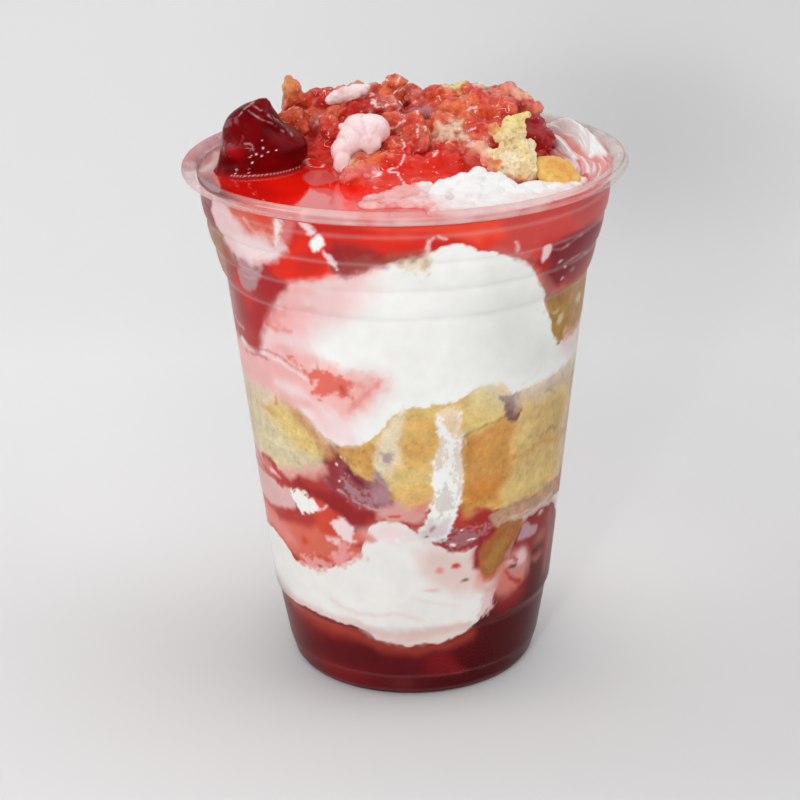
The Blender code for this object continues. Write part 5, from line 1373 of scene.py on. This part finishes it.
def build_heap():
    """Soaked cake in clumps: lumps and their knobs melted together, then crumbs and grain along the normals,
    less of both in the syrup low down. Raised grains are pale, the hollows between them red."""
    core = [(x, y, z, radius, radius, radius) for x, y, z, radius in HEAP_CORE]
    points, normals, faces = melt_together([*heap_bed(), *core, *knobbly(HEAP_LUMPS, 7, 0.34, 5)], 0.4)
    high = ease((points[:, 2] - 118.2) / 3.5)
    near, _, mark = pebbles(points, 1.9, 3)
    fine, _, _ = pebbles(points, 0.95, 9)
    tiny, _, tiny_mark = pebbles(points, 0.62, 17)
    berry = ease((6.8 - np.linalg.norm(points - (29.5, 3.5, 122), axis=1)) / 1.5)
    crumb = 0.42 * (0.55 - near) * (0.4 + mark) + 0.36 * (0.5 - fine) + 0.12 * (0.5 - tiny)
    crumb = crumb * (1 - 0.85 * berry)
    swell = 0.5 * clouds(points, 3.0, 13)
    warp = np.stack([clouds(points, 4.0, 14 + k) for k in range(3)], axis=1)
    raised = crumb / 0.3 + 0.7 * swell + 0.8 * clouds(points, 1.3, 19)
    points = points + normals * (swell * (0.35 + 0.65 * high) + crumb * (0.1 + 0.9 * high))[:, None]
    points = points + 0.6 * warp * (0.4 + 0.6 * high)[:, None]
    points[:, 2] = np.where(points[:, 2] > 131, 131 + 0.6 * (points[:, 2] - 131), points[:, 2])
    paint = base_coat(points, "soak_red")
    edge = 1.2 * clouds(points, 2.2, 26)
    coat(paint, "soak_orange", 0.5 * ease(0.5 + 1.3 * clouds(points, 6, 21, octaves=2)))
    coat(paint, "soak_pink", 0.4 * ease(1.6 * clouds(points, 4.5, 22, octaves=2) - 0.1) * high)
    for colour, x, y, z, radius, soft, strength in HEAP_STAINS:
        away = np.linalg.norm(points - (x, y, z), axis=1) - radius + edge
        coat(paint, colour, strength * ease(0.5 - away / soft))
    open_crumb = high * (1 - berry)
    coat(paint, "soak_pink", 0.5 * open_crumb * ease(0.6 * raised - 0.1) * (paint[:, 0] > 0.2))
    coat(paint, "soak_pale", 0.6 * open_crumb * ease((0.26 - tiny) / 0.16) * (tiny_mark > 0.5))
    coat(paint, "soak_deep", 0.8 * ease(0.25 - 0.6 * raised) * (0.3 + 0.7 * open_crumb))
    coat(paint, "syrup_red", 0.8 * (1 - high))
    swirls = cloudy(points * (0.45, 1, 1), 3.4, 27, -0.3, 1.8)
    coat(paint, "cream_rose", 0.55 * swirls * (1 - high) * (points[:, 1] < -6))
    draw_lines(points, normals, paint, HEAP_GLINTS, 0.12)
    paint[:, 3] = np.clip(paint[:, 3], 0.25, 1) * open_crumb
    paint[:, 4] = 1 - 0.4 * paint[:, 3]
    add_topping("crumb_heap", "heap_food", points, [faces], paint)


def strawberry_rings(rows=120, sides=160):
    """Rings from base to tip, each an ellipse turned in plan, sized and set aside by the form's table. Bumps
    along the surface make the fold below the tip, the hollow flank and the knob at its foot."""
    share = np.sin(np.linspace(0, 0.5 * math.pi, rows, endpoint=False))[:, None]
    around = (np.arange(sides) * math.tau / sides)[None, :]
    turn = math.radians(STRAWBERRY_TURN)
    at, sizes, lefts = np.array(STRAWBERRY_FORM).T
    size = np.mean([np.interp(share + k, at, sizes) for k in (-0.03, -0.015, 0, 0.015, 0.03)], axis=0)
    left = np.mean([np.interp(share + k, at, lefts) for k in (-0.03, 0, 0.03)], axis=0)
    facing = around + turn
    swell = 0
    for angle, height, wide, tall, rise in BERRY_BUMPS:
        off = (np.degrees(facing) - angle + 180) % 360 - 180
        swell = swell + rise * np.exp(-(off / wide) ** 2 - ((share - height) / tall) ** 2)
    skin = on_wall(np.degrees(facing) + 90, 6 * size, 16 * share).reshape(-1, 3)
    ribs = clouds(skin * (2.2, 2.2, 0.55), 3.0, 65)
    swell = swell + (0.3 * clouds(skin, 5.0, 61) + 0.14 * ribs).reshape(rows, sides)
    out = swell * np.sqrt(size) + 0.9 * np.exp(-share / 0.02)
    along = (STRAWBERRY_HALF[0] * size + out) * np.cos(around)
    across = (STRAWBERRY_HALF[1] * size + out) * np.sin(around)
    lean = share ** 1.6
    x, y = (base + (tip - base) * lean for base, tip in zip(STRAWBERRY_BASE, STRAWBERRY_TIP))
    z = SUNK_LEVEL + (STRAWBERRY_TIP[2] - SUNK_LEVEL) * share
    return np.stack(np.broadcast_arrays(x - left + along * math.cos(turn) - across * math.sin(turn),
                                        y + along * math.sin(turn) + across * math.cos(turn), z), axis=-1)


def build_strawberry():
    """A glazed strawberry lying over, dark red, with painted glow on its knob and foot, painted sheen on its
    upper left, painted highlights along its folds and small painted sparkles.
    """
    points, faces = ringed(strawberry_rings(), [(*STRAWBERRY_BASE, SUNK_LEVEL), STRAWBERRY_TIP])
    x, y, z = points.T
    front = y < 0
    paint = base_coat(points, "berry")
    coat(paint, "berry_deep", 0.7 * cloudy(points, 6, 62, 0.3, 1.5))
    # Painted glow: the knob and the foot brighter red.
    knob = np.exp(-((x + 36.6) / 2.4) ** 2 - ((z - 121.6) / 1.8) ** 2) * front
    coat(paint, "berry_bright", np.maximum(0.8 * knob, 0.9 * ease((118.2 - z) / 2.4)))
    # Painted sheen: a pale reflection over the upper left, and painted highlights along the folds.
    upper_left = ease((-33.0 - x) / 4) * ease((z - 122) / 3)
    coat(paint, "berry_pale", 0.22 * upper_left * cloudy(points, 1.4, 64, 0.2, 1.6))
    broken = cloudy(points, 1.1, 66, 0.55, 1.6) * front
    for line in BERRY_FOLDS:
        coat(paint, "berry_pale", 0.6 * broken * ease(1.5 - line_distance(x, z, line) / 0.15))
    glints = np.min([np.hypot(x - across, z - up) / width for across, up, width in BERRY_GLINTS], axis=0)
    coat(paint, "glint", ease((1.1 - glints) / 0.4) * front)
    dots = ease((np.cos(x * math.tau / 0.66) + 0.35) / 0.6)
    line = ease(1.3 - np.abs(z - 116.9) / 0.13) * front * (x > -38)
    coat(paint, "glint", 0.85 * line * dots)
    paint[:, 4] = 1
    piece = make_piece("strawberry_looks", points, faces, paint, food("berry_food"))
    place_piece(piece, ["strawberry"])


def build_dollops():
    """Two pinkish dollops: the back one long and low, the front one of two lobes with a drip."""
    for name, balls in DOLLOPS:
        points, normals, faces = melt_together(balls, 0.26)
        beads, _, _ = pebbles(points, 0.95, 74)
        rough = 0.18 * clouds(points, 2.6, 71)
        rough = rough + (0.3 * (0.5 - beads) if name == "back_dollop" else 0.05 * clouds(points, 0.9, 72))
        points = points + normals * rough[:, None]
        paint = base_coat(points, "dollop")
        edge = ease(0.75 - np.abs(normals[:, 1])) * cloudy(points, 3.0, 75, 0.5, 1)
        coat(paint, "dollop_deep", np.maximum(0.6 * cloudy(points, 4.5, 73, -0.1, 1.5), 0.75 * edge))
        draw_lines(points, normals, paint, DOLLOP_CREASES, 0.3, 0.42, "cream_rose")
        draw_lines(points, normals, paint, DOLLOP_GLINTS, 0.2, 1.0)
        paint[:, 4] = 0.9
        add_topping(name, "cream_food", points, [faces], paint)


def cream_film():
    """Balls of the thin cream that follows the rim, thinner at its ends."""
    first, last, inner, outer, height = CREAM_FILM
    draw = np.random.default_rng(31)
    middle, half = 0.5 * (inner + outer), 0.5 * (outer - inner)
    balls = [(x, y, 116.4, wide, wide, 0.8 * height) for x, y, wide in FILM_BALLS]
    for turn in np.arange(first + 3, last - 2, 3.2):
        taper = math.sin(math.pi * (turn - first) / (last - first)) ** 0.5
        for side in (-0.6, -0.2, 0.2, 0.6):
            radius = middle + half * (0.25 + 0.75 * side * taper) + draw.uniform(-0.5, 0.5)
            x, y, _ = on_wall(turn + draw.uniform(-1, 1), radius, 0.0)
            wide = half * 0.42 * taper * draw.uniform(0.85, 1.1)
            balls.append((x, y, 116.4, wide, wide, height * draw.uniform(0.8, 1.15)))
    return balls


def build_front_cream():
    """White cream along the front of the rim in a thin pink film, which seeps into the pool's red."""
    points, normals, faces = melt_together([*cream_film(), *FRONT_CREAM], 0.3)
    high = ease((points[:, 2] - 117.4) / 1.2)
    beads, _, bead_mark = pebbles(points, 1.2, 87)
    rough = 0.5 * clouds(points, 3.4, 81, octaves=4) * high + 0.2 * clouds(points, 0.9, 82)
    rough = rough + 0.14 * (0.5 - beads) * bead_mark * high
    points = points + normals * rough[:, None]
    angle, z = angle_of(points), points[:, 2]
    paint = base_coat(points, "white")
    left = ease((12.0 - angle + 7 * clouds(points, 5, 83)) / 9) * (0.4 + 0.6 * ease((119.0 - z) / 1.5))
    low = ease((118.0 - z + 0.8 * clouds(points, 3, 84)) / 1.2)
    low = low * (0.3 + 0.7 * np.maximum(ease((15 - angle) / 6), ease((angle - 36) / 14)))
    coat(paint, "cream_pink", np.maximum(left, 0.85 * low))
    coat(paint, "cream_deep_rose", 0.3 * left * low)
    coat(paint, "cream_rose", 0.8 * low * cloudy(points, 4, 88, 0.3, 1.6))
    coat(paint, "cream_rose", 0.9 * left * cloudy(points, 3, 85, 0.6, 1.6))
    edge = ease((points[:, 0] + 1.4 * clouds(points, 3, 89) - 2) / 9) * left
    coat(paint, "cream_coral", 0.75 * (left - edge) * low * cloudy(points, 2.6, 90, 0.3, 1.5))
    seep = 116.85 - z + 0.5 * clouds(points, 2, 86)
    coat(paint, "syrup_red", 0.85 * ease(seep / 0.7) * (1 - left))
    coat(paint, "pool_film", 0.9 * ease((seep + 0.15) / 0.8) * left)
    paint[:, 4] = np.maximum(paint[:, 4], 0.6 * low)
    add_topping("front_cream", "cream_food", points, [faces], paint)


def build_swirl():
    """The streaked swirl on the right: a closed sheet over angle and radius. Its height is a low bed, one
    crest and fine ribs; its colours and its lesser rises are strands drawn along the sweep."""
    first, last = SWIRL_TURNS
    inner, outer = SWIRL_RADII
    turns, shares = 260, 150
    turn = np.linspace(first, last, turns)[:, None]
    share = np.linspace(0, 1, shares)[None, :]
    along = (turn - first) / (last - first)
    taper = np.sin(math.pi * np.clip(along, 0, 1)) ** 0.4
    edge_in = inner + 4.0 * (1 - taper) + 0.7 * np.sin(along * 11.0)
    radius = edge_in + (outer - edge_in) * share
    per_degree = 0.7
    drift = between(SWIRL_DRIFT, turn)
    sweep = np.stack(np.broadcast_arrays((radius + drift) * 1.5, turn * 0.1, 0 * share), axis=-1)
    sweep = sweep.reshape(-1, 3)
    ribs = clouds(sweep, 1.6, 91).reshape(turns, shares)
    fine = clouds(sweep, 0.7, 92, octaves=2).reshape(turns, shares)
    across, place = (radius + 0.35 * ribs).ravel(), np.broadcast_to(turn * per_degree, radius.shape).ravel()

    def near(line):
        return line_distance(place, across, np.array(line) * (per_degree, 1)).reshape(turns, shares)

    ridge = near(SWIRL_RIDGE)
    tall = between(SWIRL_BED, turn) + between(SWIRL_CREST, turn) * peak(ridge / 1.7)
    tall = tall + (0.25 + 0.25 * peak(ridge / 2.2)) * ribs + 0.14 * fine
    colours = []
    fans = [("white", 0.5, 0.8, 1.0, line) for line in SWIRL_FAN]
    for name, width, rise, strength, line in [*SWIRL_STRANDS, *fans]:
        off = near(line) / width
        tall = tall + rise * peak(off)
        colours.append((name, strength * ease(1.5 - off)))
    colours.append(("white", ease(2.0 - ridge / 1.3) * ease((turn - 89) / 3) * ease((132 - turn) / 5)))
    edge = np.minimum(1, share / 0.14) * np.minimum(1, (1 - share) / 0.02)
    height = POOL_LEVEL - 0.1 + np.maximum(tall * taper, 0) * edge ** 0.5
    points = np.concatenate([on_wall(turn, radius, up).reshape(-1, 3) for up in (height, SUNK_LEVEL)])
    grid = np.arange(turns * shares).reshape(turns, shares)
    rim = np.concatenate([grid[0, :-1], grid[:-1, -1], grid[-1, :0:-1], grid[:0:-1, 0]])
    faces = [strip(grid, False, False), strip(grid + turns * shares, False, False)[:, ::-1],
             strip(np.stack([rim, rim + turns * shares]), False, True)]
    tint = ribs + 0.8 * fine
    colours = [("cream_pale_pink", 0.8 * ease(1.8 * tint - 0.1)),
               ("sauce_coral", 0.5 * ease(-1.8 * tint - 0.3)), *colours]
    paint = base_coat(points, "swirl")
    for name, cover in colours:
        coat(paint[:grid.size], name, cover)
    paint[:, 4] = 0.7
    add_topping("back_cream", "cream_food", points, faces, paint)


def build_crumb():
    """The plain crumb: two lobes with knobs, raised into crumbs, with painted shade in its crevices and
    holes.
    """
    points, normals, faces = melt_together(PLAIN_CRUMB, 0.22)
    near, gap, mark = pebbles(points, 1.3, 101)
    fine, _, _ = pebbles(points, 0.6, 102)
    holes, _, hole_mark = pebbles(points, 1.0, 108)
    hole = ease((0.42 - holes) / 0.2) * (hole_mark > 0.5)
    rough = 0.4 * clouds(points, 2.2, 103) + 0.5 * (0.5 - near) * (0.3 + mark)
    rough = rough + 0.26 * (0.5 - fine) - 0.4 * hole
    points = points + normals * rough[:, None]
    x, _, z = points.T
    paint = base_coat(points, "crumb_plain")
    coat(paint, "crumb_pale", 0.9 * cloudy(points, 2.6, 104, 0.4, 1.2))
    upper = ease((z - 125.4) / 1.6)
    coat(paint, "crumb_yellow", np.maximum(0.75 * upper, 0.3 * cloudy(points, 2.0, 105, 0, 1.6)))
    coat(paint, "crumb_tan", 0.85 * ease((119.8 - z + clouds(points, 3, 106)) / 2.4))
    # Painted shade: darker in the crevices between the crumbs and in the holes.
    coat(paint, "crumb_tan", np.maximum(0.4 * ease((0.1 - gap) / 0.1), 0.55 * hole))
    left = ease((21.0 - x + 0.8 * clouds(points, 2, 107)) / 1.4)
    coat(paint, "soak_orange", 0.75 * left * (upper + (z < 121.6)))
    coat(paint, "soak_pink", 0.8 * ease((18.4 - x) / 1.2) * (1 - upper))
    paint[:, 3] = 1
    add_topping("plain_crumb", "crumb_food", points, [faces], paint)


def build_wedge():
    """A slab of crust: its outline drawn in to a middle point over a rounded top, and the same underneath."""
    curve = closed_curve(GOLDEN_WEDGE, 140)
    middle = curve.mean(axis=0)
    height, rise_x, rise_y = WEDGE_TOP
    shares = [*np.linspace(0.04, 0.9, 26), 0.94, 0.97, 0.99, 1.0]
    halves = [0.5 * (1 - share ** 8) for share in shares]
    rings = []
    for share, half in [*zip(shares, halves), *[(s, -h) for s, h in zip(shares, halves)][-2::-1]]:
        at = middle + (curve - middle) * share
        level_there = height + (at - middle) @ (rise_x, rise_y) + WEDGE_THICKNESS * (half - 0.5)
        rings.append(np.column_stack([at, level_there]))
    points, faces = ringed(rings, [rings[0].mean(axis=0), rings[-1].mean(axis=0)])
    pores, _, _ = pebbles(points, 0.9, 115)
    points[:, 2] += 0.35 * clouds(points, 3.0, 111) + 0.1 * clouds(points, 0.9, 112) - 0.12 * (pores < 0.3)
    points[:, :2] += 0.3 * np.stack([clouds(points, 2.2, 113), clouds(points, 2.2, 114)], axis=1)
    paint = base_coat(points, "crumb_wedge")
    coat(paint, "crumb_yellow", 0.35 * cloudy(points, 2.4, 116, 0.2, 1.4))
    coat(paint, "crumb_orange", 0.25 * cloudy(points, 1.6, 117, 0, 1.6))
    paint[:, 4] = 0.6
    add_topping("golden_wedge", "crumb_food", points, faces, paint)


# Stage
def ranged(tree, value, low, high, to_low=0.0, to_high=1.0, **settings):
    """The value brought from one range to another."""
    inputs = {"Value": value, "From Min": low, "From Max": high, "To Min": to_low, "To Max": to_high}
    return node(tree, "MapRange", inputs, **settings).outputs[0]


def build_backdrop():
    """A pale floor that curves up behind the cup and is clear when seen from behind. Its colour holds painted
    light: lighter on the left and towards the back, a painted pool of light behind the foot and a painted
    shadow far behind the rim.
    """
    turn = np.radians(np.linspace(0, 90, 13))
    profile = np.concatenate([[(-0.9, 0), (-0.3, 0), (0.2, 0)],
                              np.stack([0.26 + 0.2 * np.sin(turn), 0.2 - 0.2 * np.cos(turn)], axis=1),
                              [(0.46, 1.4)]])
    across = np.linspace(-1.6, 1.6, 9)
    points = np.stack(np.broadcast_arrays(across[:, None], profile[:, 0], profile[:, 1]), axis=-1)
    mesh = bpy.data.meshes.new("backdrop")
    grid = np.arange(points[..., 0].size).reshape(points.shape[:2])
    mesh.from_pydata(points.reshape(-1, 3), [], strip(grid, False, False).tolist())
    mesh.shade_smooth()
    material, tree, surface = start_material("backdrop")
    place = own_place(tree)
    axes = node(tree, "SeparateXYZ", {0: place}).outputs
    # Painted light: the floor lighter on the left and towards the back.
    side = ranged(tree, axes[0], -0.09, 0.09)
    depth = ranged(tree, axes[1], -0.06, 0.2, 0.77, 1.0)
    greys = {0: side, 6: (0.9, 0.9, 0.902, 1), 7: (0.8, 0.8, 0.805, 1)}
    colour = node(tree, "Mix", greys, data_type="RGBA").outputs[2]
    for centre, radius, factor in BACKDROP_SPOTS:
        near = node(tree, "VectorMath", {0: place, 1: centre}, operation="DISTANCE").outputs[1]
        glow = ranged(tree, near, 0.0, radius, factor, 1.0, interpolation_type="SMOOTHSTEP")
        depth = work_out(tree, "MULTIPLY", depth, glow)
    shader = node(tree, "BsdfDiffuse", {"Color": scaled(tree, colour, depth)})
    behind = node(tree, "NewGeometry").outputs["Backfacing"]
    tree.links.new(mix_shaders(tree, behind, shader, node(tree, "BsdfTransparent")).outputs[0], surface)
    mesh.materials.append(material)
    add_object("backdrop", mesh)


def build_lights():
    """A small lamp left of the camera, and a sky that is bright behind and above and darker in front."""
    world = bpy.data.worlds.new("sky")
    world.use_nodes = True
    tree = world.node_tree
    tree.nodes.clear()
    way = node(tree, "TexCoord").outputs["Generated"]
    glow = ranged(tree, node(tree, "SeparateXYZ", {0: way}).outputs[1], -0.35, 0.2, 0.12, 1.65)
    sky = node(tree, "Background", {"Color": (1, 1, 1, 1), "Strength": glow})
    node(tree, "OutputWorld", {"Surface": sky.outputs[0]}).is_active_output = True
    bpy.context.scene.world = world
    lamp = bpy.data.lights.new("key", "POINT")
    lamp.energy = 1.5
    lamp.shadow_soft_size = bpy.context.scene.trifle_sizes.lamp
    add_object("key", lamp).location = KEY_LIGHT
    for name, place, size, energy in FILLS:
        panel = bpy.data.lights.new(name, "AREA")
        panel.shape = "RECTANGLE"
        panel.size, panel.size_y = size
        panel.energy = energy
        fill = add_object(name, panel)
        fill.location = place
        fill.rotation_euler = (Vector((0, 0, 0.06)) - Vector(place)).to_track_quat("-Z", "Y").to_euler()
        fill.visible_glossy = False


def build_camera():
    """The camera as the photo was taken: in front, a little above the rim, looking down."""
    pitch, yaw, roll = CAMERA_PITCH, CAMERA_YAW, CAMERA_ROLL
    forward = Vector((math.sin(yaw) * math.cos(pitch), math.cos(yaw) * math.cos(pitch), -math.sin(pitch)))
    right = Vector((math.cos(yaw), -math.sin(yaw), 0))
    up = right.cross(forward)
    c, s = math.cos(roll), math.sin(roll)
    turned_right, turned_up = c * right + s * up, c * up - s * right
    data = bpy.data.cameras.new("camera")
    data.lens = CAMERA_LENS
    data.sensor_width = 36
    data.clip_start = 0.01
    camera = add_object("camera", data)
    turn = Matrix((turned_right, turned_up, -forward)).transposed().to_4x4()
    camera.matrix_world = Matrix.Translation(CAMERA_PLACE) @ turn
    bpy.context.scene.camera = camera
    bpy.context.scene.view_settings.view_transform = "Standard"


# Add-on
def length(name, description, default, low, high):
    """A length in metres that a user can change, from a default and limits in millimetres."""
    return FloatProperty(name=name, description=description, default=default * MM, min=low * MM,
                         max=high * MM, unit="LENGTH", precision=5)


def tone(name, description, key):
    """A colour that a user can change, whose default is the palette's."""
    return FloatVectorProperty(name=name, description=description, default=tuple(linear(PALETTE[key])),
                               min=0, max=1, size=3, subtype="COLOR")


class TrifleSizes(bpy.types.PropertyGroup):
    """Sizes of the trifle"""

    wall: length("Wall", "Thickness of the cup's wall", WALL, 0.5, 1.2)
    into_wall: length("Into the wall", "How far the contents reach into the wall", INTO_WALL, 0.05, 0.65)
    pore: length("Pore depth", "Depth of the pores where crumb shows through the wall", 0.34, 0, 0.8)
    lamp: length("Lamp", "Radius of the lamp left of the camera", 11, 4, 40)


class TrifleColours(bpy.types.PropertyGroup):
    """Main colours of the trifle"""

    sauce: tone("Sauce", "Dark sauce at the foot", "sauce")
    cream: tone("Cream", "White cream through the wall", "cream")
    cake: tone("Cake", "Crumb of the cake layer", "cake")
    pool: tone("Pool", "Liquid on top", "pool")
    soak_red: tone("Soaked cake", "Heap of soaked cake", "soak_red")
    berry: tone("Strawberry", "Glazed strawberry", "berry")
    dollop: tone("Dollops", "Pinkish dollops", "dollop")
    white: tone("White cream on top", "Cream at the front of the rim", "white")
    swirl: tone("Streaked cream", "Streaked cream on the right", "swirl")
    crumb_plain: tone("Plain crumb", "Plain crumb on the right", "crumb_plain")
    crumb_wedge: tone("Crust", "Golden wedge of crust", "crumb_wedge")


class TRIFLE_OT_cup(bpy.types.Operator):
    """Make the clear cup"""

    bl_idname = "trifle.cup"
    bl_label = "Cup"

    def execute(self, context):
        build_cup()
        return {"FINISHED"}


class TRIFLE_OT_layers(bpy.types.Operator):
    """Make the layers of sauce and cream and the chunks of cake between them"""

    bl_idname = "trifle.layers"
    bl_label = "Layers"

    def execute(self, context):
        for name in LAYERS:
            build_layer(name)
        for name in CAKE_CHUNKS:
            build_cake_chunk(name)
        return {"FINISHED"}


class TRIFLE_OT_wall_pieces(bpy.types.Operator):
    """Make the pieces that show through the wall between the layers"""

    bl_idname = "trifle.wall_pieces"
    bl_label = "Pieces at the wall"

    def execute(self, context):
        for piece in WALL_PIECES:
            build_wall_piece(*piece)
        return {"FINISHED"}


class TRIFLE_OT_pool(bpy.types.Operator):
    """Make the surface of the liquid"""

    bl_idname = "trifle.pool"
    bl_label = "Pool"

    def execute(self, context):
        build_pool()
        return {"FINISHED"}


class TRIFLE_OT_heap(bpy.types.Operator):
    """Make the heap of soaked cake"""

    bl_idname = "trifle.heap"
    bl_label = "Heap"

    def execute(self, context):
        build_heap()
        return {"FINISHED"}


class TRIFLE_OT_strawberry(bpy.types.Operator):
    """Make the strawberry"""

    bl_idname = "trifle.strawberry"
    bl_label = "Strawberry"

    def execute(self, context):
        build_strawberry()
        return {"FINISHED"}


class TRIFLE_OT_cream(bpy.types.Operator):
    """Make the dollops, the cream at the front and the streaked cream on the right"""

    bl_idname = "trifle.cream"
    bl_label = "Cream on top"

    def execute(self, context):
        build_dollops()
        build_front_cream()
        build_swirl()
        return {"FINISHED"}


class TRIFLE_OT_crumbs(bpy.types.Operator):
    """Make the plain crumb and the golden wedge of crust"""

    bl_idname = "trifle.crumbs"
    bl_label = "Crumb and crust"

    def execute(self, context):
        build_crumb()
        build_wedge()
        return {"FINISHED"}


class TRIFLE_OT_stage(bpy.types.Operator):
    """Make the backdrop, the lights and the camera"""

    bl_idname = "trifle.stage"
    bl_label = "Stage"

    def execute(self, context):
        build_backdrop()
        build_lights()
        build_camera()
        return {"FINISHED"}


class TRIFLE_PT_sidebar(bpy.types.Panel):
    """Sizes, colours and pieces of the trifle"""

    bl_idname = "TRIFLE_PT_sidebar"
    bl_label = "Trifle"
    bl_space_type = "VIEW_3D"
    bl_region_type = "UI"
    bl_category = "Trifle"

    def draw(self, context):
        for group in (context.scene.trifle_sizes, context.scene.trifle_colours):
            for name in group.__annotations__:
                self.layout.prop(group, name)
        for step in STEPS:
            self.layout.operator(step.bl_idname)


STEPS = (TRIFLE_OT_cup, TRIFLE_OT_layers, TRIFLE_OT_wall_pieces, TRIFLE_OT_pool, TRIFLE_OT_heap,
         TRIFLE_OT_strawberry, TRIFLE_OT_cream, TRIFLE_OT_crumbs, TRIFLE_OT_stage)
CLASSES = (TrifleSizes, TrifleColours, *STEPS, TRIFLE_PT_sidebar)


def register():
    for item in CLASSES:
        bpy.utils.register_class(item)
    bpy.types.Scene.trifle_sizes = PointerProperty(type=TrifleSizes)
    bpy.types.Scene.trifle_colours = PointerProperty(type=TrifleColours)


def unregister():
    del bpy.types.Scene.trifle_colours
    del bpy.types.Scene.trifle_sizes
    for item in reversed(CLASSES):
        bpy.utils.unregister_class(item)


def main():
    """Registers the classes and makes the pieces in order."""
    register()
    bpy.ops.trifle.cup()
    bpy.ops.trifle.layers()
    bpy.ops.trifle.wall_pieces()
    bpy.ops.trifle.pool()
    bpy.ops.trifle.heap()
    bpy.ops.trifle.strawberry()
    bpy.ops.trifle.cream()
    bpy.ops.trifle.crumbs()
    bpy.ops.trifle.stage()


if __name__ == "__main__":
    main()
